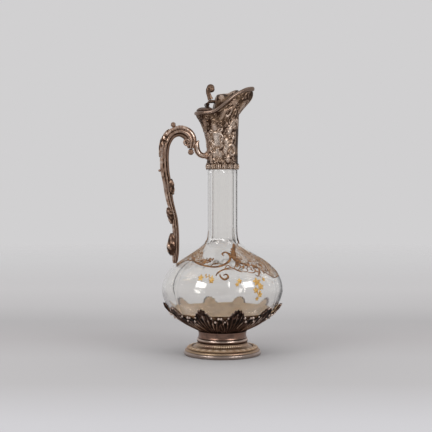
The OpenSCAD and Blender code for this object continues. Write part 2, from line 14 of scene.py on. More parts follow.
import bpy
import numpy as np
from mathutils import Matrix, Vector


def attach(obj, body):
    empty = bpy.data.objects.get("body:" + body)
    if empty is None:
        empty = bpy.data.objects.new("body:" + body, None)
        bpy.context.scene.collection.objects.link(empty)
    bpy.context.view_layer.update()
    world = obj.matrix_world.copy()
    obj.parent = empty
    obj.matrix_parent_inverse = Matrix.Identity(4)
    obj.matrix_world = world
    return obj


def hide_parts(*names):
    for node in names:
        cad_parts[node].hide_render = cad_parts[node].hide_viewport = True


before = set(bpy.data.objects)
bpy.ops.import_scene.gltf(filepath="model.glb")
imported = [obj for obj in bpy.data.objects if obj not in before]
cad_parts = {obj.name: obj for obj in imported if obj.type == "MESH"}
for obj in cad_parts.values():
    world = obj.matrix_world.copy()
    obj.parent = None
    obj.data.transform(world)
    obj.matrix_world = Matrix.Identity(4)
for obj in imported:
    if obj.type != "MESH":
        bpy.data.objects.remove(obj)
LOG = logging.getLogger("claret_jug")
MM = 0.001
Array = np.ndarray
Number = Union[float, np.ndarray]


class Body(Enum):
    """The two moving bodies of the jug."""

    JUG = "jug"
    LID = "lid"


class Slot(Enum):
    """The record's material slots."""

    CHASED = "silver"
    PLAIN = "plain_silver"
    GLASS = "glass"
    PLASTER = "plaster"


# Numbers and curves


def mix(a: Number, b: Number, t: Number) -> Number:
    """The point a share t of the way from a to b."""
    return a + (b - a) * t


def ease(t: Number) -> Array:
    """Slow start and end: 3t² - 2t³, held between 0 and 1."""
    c = np.clip(t, 0.0, 1.0)
    return c * c * (3 - 2 * c)


def hump(x: Number, middle: float, half: float) -> Array:
    """A round hump of height 1 at the middle, down to 0 at the given half width."""
    return ease(1 - np.abs(x - middle) / half)


def smooth_path(points: Sequence, steps: int) -> Array:
    """A smooth curve through the points.

    Between two points it is the cubic whose slope at each is half the step between that point's
    neighbours; the end points stand in for their missing neighbours.

    Args:
        points: rows of any length, one for each point.
        steps: samples from each point to the next.

    Returns:
        The samples, with the last point at the end.
    """
    p = np.asarray(points, float)
    q = np.vstack([p[:1], p, p[-1:]])
    a, b, c, d = (q[i:len(q) - 3 + i, None, :] for i in range(4))
    t = np.linspace(0, 1, steps, endpoint=False)[None, :, None]
    body = 0.5 * (2 * b + (c - a) * t + (2 * a - 5 * b + 4 * c - d) * t ** 2
                  + (3 * b - a - 3 * c + d) * t ** 3)
    return np.vstack([body.reshape(-1, p.shape[1]), p[-1:]])


def about_axis(r: Number, angle: Number, z: Number) -> Array:
    """Points at a radius, an angle in radians and a height about the jug's axis."""
    return np.stack([r * np.cos(angle), r * np.sin(angle), z + 0 * angle], -1)


def off_middle(angle: Number, sectors: int) -> Array:
    """Angle in degrees from the middle of the nearest of the equal sectors."""
    return angle - 360 / sectors * np.round(angle * sectors / 360)


def value_noise(x: Array, y: Array, cell: float, seed: int, period: int = 0) -> Array:
    """Smooth noise from -1 to 1: random values on a square lattice, eased between its corners.

    Args:
        x: first coordinate in millimetres.
        y: second coordinate in millimetres.
        cell: lattice spacing in millimetres.
        seed: number that fixes the random values.
        period: lattice cells after which x repeats, or 0.

    Returns:
        The noise at each place.
    """
    table = np.random.default_rng(seed).uniform(-1, 1, (64, 64))
    u, v = np.asarray(x) / cell, np.asarray(y) / cell
    i, j = np.floor(u).astype(int), np.floor(v).astype(int)
    s, t = ease(u - i), ease(v - j)
    wrap = (lambda k: np.mod(k, period)) if period else (lambda k: k)
    pick = lambda a, b: table[np.mod(wrap(a), 64), np.mod(b, 64)]
    low = mix(pick(i, j), pick(i + 1, j), s)
    high = mix(pick(i, j + 1), pick(i + 1, j + 1), s)
    return mix(low, high, t)


# The jug's own sizes and profiles


@dataclass(frozen=True)
class Form:
    """Sizes of the jug in millimetres, as its solids have them."""

    foot_r: float = 41
    rim_h: float = 4.6
    foot_rise: float = 8.4
    band_r: float = 25.4
    ring_h: float = 5.2
    band_h: float = 6.8
    foot_leaves: int = 30
    bowl_r: float = 64
    bowl_h: float = 92
    lobe_depth: float = 0.05
    leaf_rise: float = 26.5
    leaves: int = 10
    neck_r: float = 16.9
    bore_r: float = 12
    neck_h: float = 75.6
    collar_r: float = 16.5
    back_h: float = 58.6
    spout_rise: float = 26.6
    spout_x: float = 32.5
    back_x: float = 28.3
    mouth_w: float = 19
    hinge_x: float = 16.5
    hinge_up: float = 9.3
    barrel_r: float = 2
    dome_h: float = 13
    handle_reach: float = 61.6
    bracket_h: float = 15
    handle_depth: float = 3.7
    tenon_r: float = 14.5
    grip_h: float = 20
    mid_x: float = -4
    narrowing: float = 0.4
    wire_a: float = 1.5
    wire_b: float = 1.9

    @property
    def foot_top(self) -> float:
        """Height of the top of the domed foot."""
        return self.rim_h + self.foot_rise

    @property
    def ring_top(self) -> float:
        """Height of the top of the half-round ring."""
        return self.foot_top + self.ring_h

    @property
    def band_top(self) -> float:
        """Height of the top of the plain band."""
        return self.ring_top + self.band_h

    @property
    def glass_z(self) -> float:
        """Height of the base of the glass."""
        return self.band_top + 3

    @property
    def neck_z(self) -> float:
        """Height of the foot of the neck."""
        return self.glass_z + self.bowl_h

    @property
    def collar_z(self) -> float:
        """Height of the lower edge of the collar."""
        return self.neck_z + self.neck_h

    @property
    def rim_back_z(self) -> float:
        """Height of the mouth at the back."""
        return self.collar_z + self.back_h

    @property
    def axis_z(self) -> float:
        """Height of the hinge axis."""
        return self.rim_back_z + self.hinge_up

    @property
    def deck_top(self) -> float:
        """Height of the plate under the hinge."""
        return self.axis_z - self.barrel_r - 1.15

    @property
    def bracket_z(self) -> float:
        """Height at which the bracket springs from the collar."""
        return self.collar_z + self.bracket_h

    def bowl_curve(self, steps: int = 2) -> Array:
        """Radius and height of the bowl at the crests of its lobes, from base to neck."""
        r, z, h = self.bowl_r, self.glass_z, self.bowl_h
        return smooth_path([
            (r * 0.375, z), (r * 0.531, z + h * 0.043), (r * 0.704, z + h * 0.115),
            (r * 0.831, z + h * 0.185), (r * 0.936, z + h * 0.288), (r * 0.994, z + h * 0.392),
            (r, z + h * 0.472), (r * 0.969, z + h * 0.563), (r * 0.892, z + h * 0.663),
            (r * 0.719, z + h * 0.77), (r * 0.487, z + h * 0.873),
            (self.neck_r + 4.6, z + h * 0.95), (self.neck_r + 1.3, self.neck_z + 1),
            (self.neck_r, self.neck_z + 9)], steps)

    def glass_shape(self, angle: Array, z: Array) -> Array:
        """Share of the crest radius that the glass has at an angle in degrees and a height.

        Six lobes sink by a cosine towards their valleys, and on the neck six flats take over.
        """
        d = off_middle(angle, 6)
        lobe = ease((z - self.glass_z - self.bowl_h * 0.1) / (self.bowl_h * 0.3)) \
            * ease((self.neck_z - 2 - z) / (self.bowl_h * 0.12))
        flat = 0.88 * ease((z - self.neck_z + 6) / 10) * ease((self.collar_z + 1.5 - z) / 3)
        return 1 - self.lobe_depth * lobe * (1 - np.cos(np.radians(3 * d))) \
            - flat * (1 - math.cos(math.radians(30)) / np.cos(np.radians(d)))

    def rim_plan(self, u: Array) -> Array:
        """Plan of the mouth at angle u in radians: two half ellipses, narrowed to the spout."""
        c, s = np.cos(u), np.sin(u)
        reach = np.where(c > 0, self.spout_x - self.mid_x, self.back_x + self.mid_x)
        width = self.mouth_w * (1 - self.narrowing * np.maximum(0, c) ** 2)
        return np.stack([self.mid_x + reach * c, width * s], -1)

    def rim_w(self, x: Array) -> Array:
        """Half width of the mouth at x."""
        reach = np.where(x > self.mid_x, self.spout_x - self.mid_x, self.back_x + self.mid_x)
        c = (x - self.mid_x) / reach
        return self.mouth_w * np.sqrt(np.maximum(0, 1 - c * c)) \
            * (1 - self.narrowing * np.maximum(0, c) ** 2)

    def rim_z(self, x: Array) -> Array:
        """Height of the mouth at x, rising from the back to the lip of the spout."""
        front, back, mid = self.spout_x - self.mid_x, self.back_x + self.mid_x, self.mid_x
        line = smooth_path([
            (-self.back_x - 3, 0), (mid - back * 0.6, 0.01), (mid - back * 0.26, 0.086),
            (mid + front * 0.1, 0.36), (mid + front * 0.36, 0.65), (mid + front * 0.58, 0.825),
            (mid + front * 0.8, 0.945), (self.spout_x + 3, 1)], 12)
        return self.rim_back_z + self.spout_rise * np.interp(x, line[:, 0], line[:, 1])


F = Form()


# Meshes


def cross_sign(points: Array, loop_rows: bool) -> float:
    """Sign of the volume that a grid encloses: the sum of triple products over its quads.

    Args:
        points: rows of points whose columns wrap.
        loop_rows: whether the rows wrap too.

    Returns:
        1 where the quads face outward, otherwise -1.
    """
    rows = np.vstack([points, points[:1]]) if loop_rows else points
    a, b = rows[:-1], rows[1:]
    c = np.roll(b, -1, 1)
    middle = rows.reshape(-1, 3).mean(0)
    a, b, c, d = a - middle, b - middle, c - middle, np.roll(a, -1, 1) - middle
    volume = np.einsum("ijk,ijk->", a, np.cross(b, c)) + np.einsum("ijk,ijk->", a, np.cross(c, d))
    return 1.0 if volume >= 0 else -1.0


def grid_normals(points: Array, loop_rows: bool) -> Array:
    """Outward unit normals of a grid: along the columns crossed with along the rows."""
    along = np.roll(points, -1, 1) - np.roll(points, 1, 1)
    if loop_rows:
        down = np.roll(points, -1, 0) - np.roll(points, 1, 0)
    else:
        down = np.gradient(points, axis=0)
    n = np.cross(down, along)
    n /= np.maximum(np.linalg.norm(n, axis=2, keepdims=True), 1e-9)
    return n * cross_sign(points, loop_rows)


def placed(name: str, data: bpy.types.ID) -> bpy.types.Object:
    """A new object for the data, at the origin and linked into the scene."""
    obj = bpy.data.objects.new(name, data)
    bpy.context.scene.collection.objects.link(obj)
    return obj


@dataclass
class Skin:
    """A closed surface on a grid of points, with rows along it and columns round it.

    The columns always wrap. The rows wrap too where loop_rows is set, and otherwise each end row
    is closed by a fan to its middle. Its per-point level is 0 in a recess and 1 on a rubbed crest,
    and on some pieces it also carries painted shade and painted highlights.
    """

    points: Array
    loop_rows: bool = False
    wear_and_painted_light: Optional[Array] = None

    def raised(self, height: Array) -> "Skin":
        """The same skin with each point moved out along its normal by height."""
        n = grid_normals(self.points, self.loop_rows)
        return Skin(self.points + n * height[..., None], self.loop_rows, self.wear_and_painted_light)

    def evenly(self, wear_and_painted_light: float) -> "Skin":
        """The same skin, at one level of wear and painted light all over."""
        return Skin(self.points, self.loop_rows, np.full(self.points.shape[:2], wear_and_painted_light))

    def parts(self) -> tuple[Array, Array, Array, Array]:
        """Vertices, quads, triangles and the worn value of each vertex, facing outward."""
        rows, cols = self.points.shape[:2]
        verts = self.points.reshape(-1, 3)
        wear_and_painted_light = np.full(len(verts), 0.5) if self.wear_and_painted_light is None else self.wear_and_painted_light.reshape(-1)
        r = np.arange(rows if self.loop_rows else rows - 1)[:, None]
        c = np.arange(cols)[None, :]
        s, d = (r + 1) % rows, (c + 1) % cols
        quads = np.stack([r * cols + c, s * cols + c, s * cols + d, r * cols + d], -1).reshape(-1, 4)
        tris = np.zeros((0, 3), int)
        if not self.loop_rows:
            i = np.arange(cols)
            j = (i + 1) % cols
            first, last = len(verts), len(verts) + 1
            ends = self.points[[0, -1]].mean(1)
            verts = np.vstack([verts, ends])
            wear_and_painted_light = np.concatenate([wear_and_painted_light, [wear_and_painted_light[:cols].mean(), wear_and_painted_light[-cols:].mean()]])
            base = (rows - 1) * cols
            tris = np.vstack([
                np.stack([np.full(cols, first), i, j], -1),
                np.stack([np.full(cols, last), base + j, base + i], -1)])
        if cross_sign(self.points, self.loop_rows) < 0:
            quads, tris = quads[:, ::-1], tris[:, ::-1]
        return verts, quads, tris, wear_and_painted_light


@dataclass
class Piece:
    """One finished piece of the jug and what it says to the frame."""

    name: str
    body: Body
    slot: Slot
    finish: "Finish"
    skins: list[Skin]
    replaces: tuple[str, ...] = ()
    sharp_deg: float = 0

    def make(self) -> bpy.types.Object:
        """Builds the mesh, dresses it and hands it to its body.

        Returns:
            The new object, at the origin, with its place in its mesh.
        """
        verts, faces, wear_and_painted_light, start = [], [], [], 0
        for skin in self.skins:
            v, q, t, w = skin.parts()
            verts.append(v)
            wear_and_painted_light.append(w)
            faces += (q + start).tolist() + (t + start).tolist()
            start += len(v)
        mesh = bpy.data.meshes.new(self.name)
        mesh.from_pydata((np.vstack(verts) * MM).tolist(), [], faces)
        mesh.polygons.foreach_set("use_smooth", np.ones(len(faces), bool))
        mark = mesh.attributes.new("wear_and_painted_light", "FLOAT", "POINT")
        mark.data.foreach_set("value", np.concatenate(wear_and_painted_light).astype(np.float32))
        if self.sharp_deg:
            mesh.set_sharp_from_angle(angle=math.radians(self.sharp_deg))
        mesh.update()
        mesh.materials.append(self.finish.material())
        obj = placed(self.name, mesh)
        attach(obj, self.body.value)
        if self.replaces:
            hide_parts(*self.replaces)
        LOG.info("%s: %d faces on %s", self.name, len(faces), self.body.value)
        return obj


def turned(profile: Array, columns: int, loop: bool = True) -> Skin:
    """A turned piece: each profile point (radius, height) goes once round the axis."""
    a = np.linspace(0, 2 * np.pi, columns, endpoint=False)
    return Skin(about_axis(profile[:, 0, None], a, profile[:, 1, None]), loop)


def ball(x: float, y: float, z: float, r: float, columns: int = 48,
         shape: Optional[Callable[[Array, Array], Array]] = None) -> Skin:
    """A knob about the z axis through (x, y, z).

    Args:
        x: place of the middle.
        y: place of the middle.
        z: place of the middle.
        r: radius.
        columns: points round it.
        shape: share of the radius at latitude and longitude in radians, or None for a ball.

    Returns:
        The skin, with a small disc at each pole.
    """
    lat = np.linspace(-np.pi / 2 + 0.04, np.pi / 2 - 0.04, columns // 2)[:, None]
    lon = np.linspace(0, 2 * np.pi, columns, endpoint=False)[None, :]
    k = r * (np.ones_like(lat + lon) if shape is None else shape(lat, lon))
    return Skin(np.stack([x + k * np.cos(lat) * np.cos(lon), y + k * np.cos(lat) * np.sin(lon),
                          z + k * np.sin(lat) + 0 * lon], -1))


def evened(plan: Array, count: int, soften: float) -> Array:
    """A closed line as evenly spaced points, each then averaged with its neighbours.

    Args:
        plan: points of the line.
        count: points wanted.
        soften: length in millimetres over which a corner is rounded.

    Returns:
        The points.
    """
    ring = np.vstack([plan, plan[:1]])
    far = np.concatenate([[0], np.cumsum(np.linalg.norm(np.diff(ring, axis=0), axis=1))])
    at = np.linspace(0, far[-1], count, endpoint=False)
    even = np.stack([np.interp(at, far, ring[:, k]) for k in range(ring.shape[1])], -1)
    reach = max(1, int(round(soften / (far[-1] / count) / 2)))
    return sum(np.roll(even, k, 0) for k in range(-reach, reach + 1)) / (2 * reach + 1)


def path_frame(path: Array) -> tuple[Array, Array]:
    """Unit tangent of a path in the XZ plane, and the normal to its right in that plane."""
    t = np.gradient(path[:, :2], axis=0)
    t /= np.linalg.norm(t, axis=1, keepdims=True)
    return t, np.stack([t[:, 1], -t[:, 0]], -1)


def swept(path: Array, columns: int, squareness: float = 1.0,
          carve: Optional[Callable[[Array, Array], Array]] = None) -> Skin:
    """A bar carried along a path in the XZ plane.

    The section is an ellipse whose cosine and sine are raised to the squareness power, so that 1
    is round and less is fuller. Rows of the path are x, z, half width in the plane and half depth.

    Args:
        path: the rows.
        columns: points round the section.
        squareness: power of the section.
        carve: millimetres added along the normal at (share of the path, angle of the section).

    Returns:
        The bar, closed at both ends.
    """
    _, out = path_frame(path)
    a = np.linspace(0, 2 * np.pi, columns, endpoint=False)[None, :]
    c = np.sign(np.cos(a)) * np.abs(np.cos(a)) ** squareness
    s = np.sign(np.sin(a)) * np.abs(np.sin(a)) ** squareness
    w, d = path[:, 2, None], path[:, 3, None]
    points = np.stack([path[:, 0, None] + out[:, 0, None] * w * c, d * s,
                       path[:, 1, None] + out[:, 1, None] * w * c], -1)
    skin = Skin(points)
    if carve is not None:
        along = np.linspace(0, 1, len(path))[:, None]
        height = carve(along, a)
        skin = skin.raised(height)
        skin.wear_and_painted_light = np.clip(0.5 + height / 0.9, 0, 1)
    return skin


def moulding(plan: Array, a: Number, b: Number, columns: int) -> Skin:
    """A rounded wire along a closed line in space: half size a across it and b upright.

    Args:
        plan: rows of x, y and z.
        a: half size across, as one number or a column.
        b: half size upright, as one number or a column.
        columns: points round the section.

    Returns:
        The wire.
    """
    t = np.roll(plan, -1, 0) - np.roll(plan, 1, 0)
    t /= np.linalg.norm(t[:, :2], axis=1, keepdims=True)
    f = np.linspace(0, 2 * np.pi, columns, endpoint=False)[None, :]
    return Skin(np.stack([plan[:, 0, None] + t[:, 1, None] * a * np.cos(f),
                          plan[:, 1, None] - t[:, 0, None] * a * np.cos(f),
                          plan[:, 2, None] + b * np.sin(f)], -1), loop_rows=True)


# Chased ornament, drawn flat in millimetres as strokes: rows of x, y, half width and height


def scroll(x: float, y: float, radii: tuple[float, float], turn: tuple[float, float],
           width: tuple[float, float] = (0.5, 0.9), height: float = 0.6) -> Array:
    """A spiral cord: its radius and its angle change evenly along it.

    Args:
        x: place of its middle.
        y: place of its middle.
        radii: first and last radius.
        turn: first and last angle in degrees.
        width: first and last half width.
        height: height at its end.

    Returns:
        The stroke.
    """
    t = np.linspace(0, 1, 12 + int(abs(turn[1] - turn[0]) / 9))
    a, r = np.radians(mix(turn[0], turn[1], t)), mix(radii[0], radii[1], t)
    w = mix(width[0], width[1], t)
    return np.stack([x + r * np.cos(a), y + r * np.sin(a), w, height * (0.6 + 0.4 * t)], -1)


def blade(x: float, y: float, angle: float, length: float, width: float, height: float,
          bend: float = 0) -> Array:
    """A pointed leaf or petal, widest a third of the way along.

    Args:
        x: place of its root.
        y: place of its root.
        angle: its first direction in degrees.
        length: its length.
        width: its greatest half width.
        height: its height at the root.
        bend: how far it turns along its length, in degrees.

    Returns:
        The stroke.
    """
    t = np.linspace(0, 1, 14)
    a = np.radians(angle + bend * t)
    step = length / 13
    px = x + np.concatenate([[0], np.cumsum(np.cos(a[:-1]) * step)])
    py = y + np.concatenate([[0], np.cumsum(np.sin(a[:-1]) * step)])
    w = width * np.sin(np.pi * np.clip(t, 0.03, 0.97) ** 0.65) + 0.12
    return np.stack([px, py, w, height * (1 - 0.35 * t)], -1)


def acanthus(x: float, y: float, angle: float, length: float, spread: float, height: float,
             bend: float = 0, pairs: int = 4) -> list[Array]:
    """A leaf of a bent midrib with pairs of lobes that shorten towards its tip.

    Args:
        x: place of its root.
        y: place of its root.
        angle: direction of the midrib in degrees.
        length: length of the midrib.
        spread: length of the longest lobes.
        height: height of the midrib.
        bend: how far the midrib turns, in degrees.
        pairs: pairs of lobes.

    Returns:
        The strokes, lobes first.
    """
    rib = blade(x, y, angle, length, spread * 0.16, height, bend)
    lobes = []
    for k in range(pairs):
        t = 0.1 + 0.72 * k / pairs
        px, py = rib[int(t * 13), :2]
        lean = angle + bend * t
        size = spread * (0.55 + 0.45 * math.sin(math.pi * (0.25 + 0.6 * t)))
        for side in (-1, 1):
            lobes.append(blade(px, py, lean + side * (58 - 22 * t), size, size * 0.24,
                               height * 0.8, -side * 34))
    return lobes + [rib]


def blossom(x: float, y: float, r: float, height: float, petals: int = 5) -> list[Array]:
    """A flower of round petals about a bead."""
    out = [blade(x, y, 90 + 360 * k / petals, r, r * 0.34, height) for k in range(petals)]
    return out + [np.array([[x, y, r * 0.26, height * 1.3]])]


def mirrored(strokes: Iterable[Array], column: int = 0) -> list[Array]:
    """The strokes, each with its mirror image about zero of the given column."""
    both = []
    for s in strokes:
        other = s.copy()
        other[:, column] *= -1
        both += [s, other]
    return both


def relief(x: Array, y: Array, strokes: Iterable[Array], period: float = 0) -> Array:
    """Height of the ornament at each place.

    It is the tallest of the strokes there. A stroke is round-backed: at distance d from its line
    it stands height x sqrt(1 - (d / half width)²).

    Args:
        x: first coordinate of the places.
        y: second coordinate of the places.
        strokes: the ornament.
        period: length after which x repeats, or 0.

    Returns:
        The height in millimetres, 0 on the ground between strokes.
    """
    shape = np.broadcast(x, y).shape
    px, py = (np.broadcast_to(v, shape).reshape(-1) for v in (x, y))
    out = np.zeros(px.shape)
    for stroke in strokes:
        for shift in ((-period, 0, period) if period else (0,)):
            s = stroke + np.array([shift, 0, 0, 0])
            reach = s[:, 2].max()
            near = np.nonzero((px > s[:, 0].min() - reach) & (px < s[:, 0].max() + reach)
                              & (py > s[:, 1].min() - reach) & (py < s[:, 1].max() + reach))[0]
            if not len(near):
                continue
            fine = np.stack([np.interp(np.linspace(0, len(s) - 1, 3 * len(s)),
                                       np.arange(len(s)), s[:, k]) for k in range(4)], -1)
            d2 = (px[near, None] - fine[None, :, 0]) ** 2 + (py[near, None] - fine[None, :, 1]) ** 2
            h = fine[:, 3] * np.sqrt(np.maximum(0, 1 - d2 / fine[:, 2] ** 2))
            out[near] = np.maximum(out[near], h.max(1))
    return out.reshape(shape)


# Finishes


def linear(hex_code: str) -> tuple[float, float, float, float]:
    """An sRGB hex colour as linear red, green, blue and full alpha."""
    parts = [int(hex_code[i:i + 2], 16) / 255 for i in (1, 3, 5)]
    flat = [c / 12.92 if c <= 0.04045 else ((c + 0.055) / 1.055) ** 2.4 for c in parts]
    return (flat[0], flat[1], flat[2], 1.0)


def add_node(tree: bpy.types.NodeTree, kind: str, settings: Optional[dict] = None,
             inputs: Optional[dict] = None, ramp: Optional[Sequence] = None) -> bpy.types.Node:
    """Adds one node.

    Args:
        tree: the tree that it goes into.
        kind: the node's type name.
        settings: its own properties by name.
        inputs: a value, or a socket to link from, for each input by name or number.
        ramp: (place, hex colour) stops, for a colour ramp.

    Returns:
        The node.
    """
    node = tree.nodes.new(kind)
    for key, value in (settings or {}).items():
        setattr(node, key, value)
    for key, value in (inputs or {}).items():
        if isinstance(value, bpy.types.NodeSocket):
            tree.links.new(value, node.inputs[key])
        else:
            node.inputs[key].default_value = value
    if ramp:
        stops = node.color_ramp.elements
        while len(stops) < len(ramp):
            stops.new(0.5)
        for stop, (place, colour) in zip(stops, ramp):
            stop.position = place
            stop.color = linear(colour)
    return node


class Finish:
    """A surface finish, whose material is made once and shared."""

    name: str

    def material(self) -> bpy.types.Material:
        """The material, made on first use."""
        found = bpy.data.materials.get(self.name)
        if found:
            return found
        made = bpy.data.materials.new(self.name)
        made.use_nodes = True
        made.node_tree.nodes.clear()
        shader = self.shader(made.node_tree)
        add_node(made.node_tree, "ShaderNodeOutputMaterial", inputs={"Surface": shader})
        return made

    def shader(self, tree: bpy.types.NodeTree) -> bpy.types.NodeSocket:
        """Adds the finish's nodes and returns the shader's output."""
        raise NotImplementedError


@dataclass(frozen=True)
class Silver(Finish):
    """Silver that has darkened with age: warm grey where hands rub it, brown to black in recesses.

    A matted surface scatters part of the light, which a metal share below 1 stands for.
    Tarnish clouds are 7 to 16 mm across and the soft wear scratches 0.6 mm apart, drawn coarser
    than the real ones so that they show.
    """

    name: str
    recess: str
    middle: str
    crest: str
    stain: str
    rough: float
    cloud_mm: float = 9
    scratch_mm: float = 0.6
    bump_mm: float = 0.05
    metal: float = 1.0

    def shader(self, tree: bpy.types.NodeTree) -> bpy.types.NodeSocket:
        """Recess to crest by the worn attribute, stained by clouds, on a metal shader."""
        place = add_node(tree, "ShaderNodeTexCoord").outputs["Object"]
        wear_and_painted_light = add_node(tree, "ShaderNodeAttribute", {"attribute_name": "wear_and_painted_light"}).outputs["Fac"]
        cloud = add_node(tree, "ShaderNodeTexNoise", inputs={
            "Vector": place, "Scale": 1 / (self.cloud_mm * MM), "Detail": 3.0}).outputs["Fac"]
        grain = add_node(tree, "ShaderNodeTexNoise", inputs={
            "Vector": place, "Scale": 1 / (self.scratch_mm * MM), "Detail": 2.0}).outputs["Fac"]
        shifted = add_node(tree, "ShaderNodeMath", {"operation": "MULTIPLY_ADD"},
                           {0: cloud, 1: 0.5, 2: -0.25}).outputs[0]
        level = add_node(tree, "ShaderNodeMath", {"operation": "ADD"},
                         {0: wear_and_painted_light, 1: shifted}).outputs[0]
        metal = add_node(tree, "ShaderNodeValToRGB", inputs={"Fac": level}, ramp=[
            (0.08, self.recess), (0.45, self.middle), (0.95, self.crest)]).outputs["Color"]
        patch = add_node(tree, "ShaderNodeMapRange", inputs={
            "Value": cloud, "From Min": 0.45, "From Max": 0.7, "To Min": 0.0,
            "To Max": 0.65}).outputs["Result"]
        colour = add_node(tree, "ShaderNodeMix", {"data_type": "RGBA"}, {
            0: patch, 6: metal, 7: linear(self.stain)}).outputs[2]
        rough = add_node(tree, "ShaderNodeMapRange", inputs={
            "Value": level, "From Min": 0.0, "From Max": 1.0, "To Min": self.rough + 0.22,
            "To Max": self.rough}).outputs["Result"]
        bump = add_node(tree, "ShaderNodeBump", inputs={
            "Height": grain, "Strength": 0.5, "Distance": self.bump_mm * MM}).outputs["Normal"]
        return add_node(tree, "ShaderNodeBsdfPrincipled", inputs={
            "Base Color": colour, "Metallic": self.metal, "Roughness": rough,
            "Normal": bump}).outputs["BSDF"]


@dataclass(frozen=True)
class LeadCrystal(Finish):
    """Lead crystal, blown and cut: almost colourless, bright at its edges, with faint ripples.

    The ripples are 26 mm apart, as blown glass has them.
    """

    name: str = "lead_crystal"
    tint: str = "#FCFBF9"
    rough: float = 0.05
    index: float = 1.54
    ripple_mm: float = 26

    def shader(self, tree: bpy.types.NodeTree) -> bpy.types.NodeSocket:
        """Clear refraction with a soft ripple in the normal."""
        place = add_node(tree, "ShaderNodeTexCoord").outputs["Object"]
        ripple = add_node(tree, "ShaderNodeTexNoise", inputs={
            "Vector": place, "Scale": 1 / (self.ripple_mm * MM), "Detail": 1.0}).outputs["Fac"]
        bump = add_node(tree, "ShaderNodeBump", inputs={
            "Height": ripple, "Strength": 0.2, "Distance": 0.2 * MM}).outputs["Normal"]
        return add_node(tree, "ShaderNodeBsdfPrincipled", inputs={
            "Base Color": linear(self.tint), "Roughness": self.rough, "IOR": self.index,
            "Transmission Weight": 1.0, "Normal": bump}).outputs["BSDF"]


@dataclass(frozen=True)
class RaisedGold(Finish):
    """Raised gilding on enamel, rubbed: warm brown gold, brighter on its ridges, satin."""

    name: str
    ridge: str
    thin: str
    rough: float = 0.34
    under: str = "#F0E2CC"
    mottle_mm: float = 3

    def shader(self, tree: bpy.types.NodeTree) -> bpy.types.NodeSocket:
        """Two golds mottled together, over the pale enamel that shows from inside the glass."""
        place = add_node(tree, "ShaderNodeTexCoord").outputs["Object"]
        mottle = add_node(tree, "ShaderNodeTexNoise", inputs={
            "Vector": place, "Scale": 1 / (self.mottle_mm * MM), "Detail": 2.0}).outputs["Fac"]
        colour = add_node(tree, "ShaderNodeValToRGB", inputs={"Fac": mottle}, ramp=[
            (0.35, self.thin), (0.65, self.ridge)]).outputs["Color"]
        top = add_node(tree, "ShaderNodeAttribute", {"attribute_name": "wear_and_painted_light"}).outputs["Fac"]
        both = add_node(tree, "ShaderNodeMix", {"data_type": "RGBA"}, {
            0: top, 6: linear(self.under), 7: colour}).outputs[2]
        shine = add_node(tree, "ShaderNodeMath", {"operation": "MULTIPLY"}, {
            0: top, 1: 0.35}).outputs[0]
        return add_node(tree, "ShaderNodeBsdfPrincipled", inputs={
            "Base Color": both, "Metallic": shine, "Roughness": self.rough}).outputs["BSDF"]


@dataclass(frozen=True)
class EnamelWash(Finish):
    """A thin wash of beige enamel between the gilt lines, stippled so that glass shows through.

    The stipple is 0.9 mm apart, and the wash thins out in clouds 8 mm across.
    """

    name: str = "stippled_enamel_wash"
    colour: str = "#C4A584"
    most: float = 0.46
    least: float = 0.02
    dot_mm: float = 0.9
    cloud_mm: float = 8

    def shader(self, tree: bpy.types.NodeTree) -> bpy.types.NodeSocket:
        """Matt beige that lets some light through, mixed with clear by two sizes of noise."""
        place = add_node(tree, "ShaderNodeTexCoord").outputs["Object"]
        dots = add_node(tree, "ShaderNodeTexNoise", inputs={
            "Vector": place, "Scale": 1 / (self.dot_mm * MM), "Detail": 1.0}).outputs["Fac"]
        clouds = add_node(tree, "ShaderNodeTexNoise", inputs={
            "Vector": place, "Scale": 1 / (self.cloud_mm * MM), "Detail": 2.0}).outputs["Fac"]
        both = add_node(tree, "ShaderNodeMath", {"operation": "ADD"}, {0: dots, 1: clouds}).outputs[0]
        share = add_node(tree, "ShaderNodeMapRange", inputs={
            "Value": both, "From Min": 0.88, "From Max": 1.14, "To Min": self.least,
            "To Max": self.most}).outputs["Result"]
        front = add_node(tree, "ShaderNodeBsdfDiffuse", inputs={
            "Color": linear(self.colour)}).outputs[0]
        through = add_node(tree, "ShaderNodeBsdfTranslucent", inputs={
            "Color": linear(self.colour)}).outputs[0]
        matt = add_node(tree, "ShaderNodeMixShader", inputs={0: 0.4, 1: front, 2: through}).outputs[0]
        clear = add_node(tree, "ShaderNodeBsdfTransparent").outputs[0]
        return add_node(tree, "ShaderNodeMixShader", inputs={
            0: share, 1: clear, 2: matt}).outputs[0]


@dataclass(frozen=True)
class BeddingPlaster(Finish):
    """Plaster that beds the glass in its mounts: pale, matt and slightly pitted."""

    name: str = "bedding_plaster"
    colour: str = "#CFC7B8"
    rough: float = 0.85
    pit_mm: float = 1.5

    def shader(self, tree: bpy.types.NodeTree) -> bpy.types.NodeSocket:
        """Matt, with pits 1.5 mm apart."""
        place = add_node(tree, "ShaderNodeTexCoord").outputs["Object"]
        pits = add_node(tree, "ShaderNodeTexNoise", inputs={
            "Vector": place, "Scale": 1 / (self.pit_mm * MM), "Detail": 3.0}).outputs["Fac"]
        bump = add_node(tree, "ShaderNodeBump", inputs={
            "Height": pits, "Strength": 0.6, "Distance": 0.2 * MM}).outputs["Normal"]
        return add_node(tree, "ShaderNodeBsdfPrincipled", inputs={
            "Base Color": linear(self.colour), "Roughness": self.rough,
            "Normal": bump}).outputs["BSDF"]


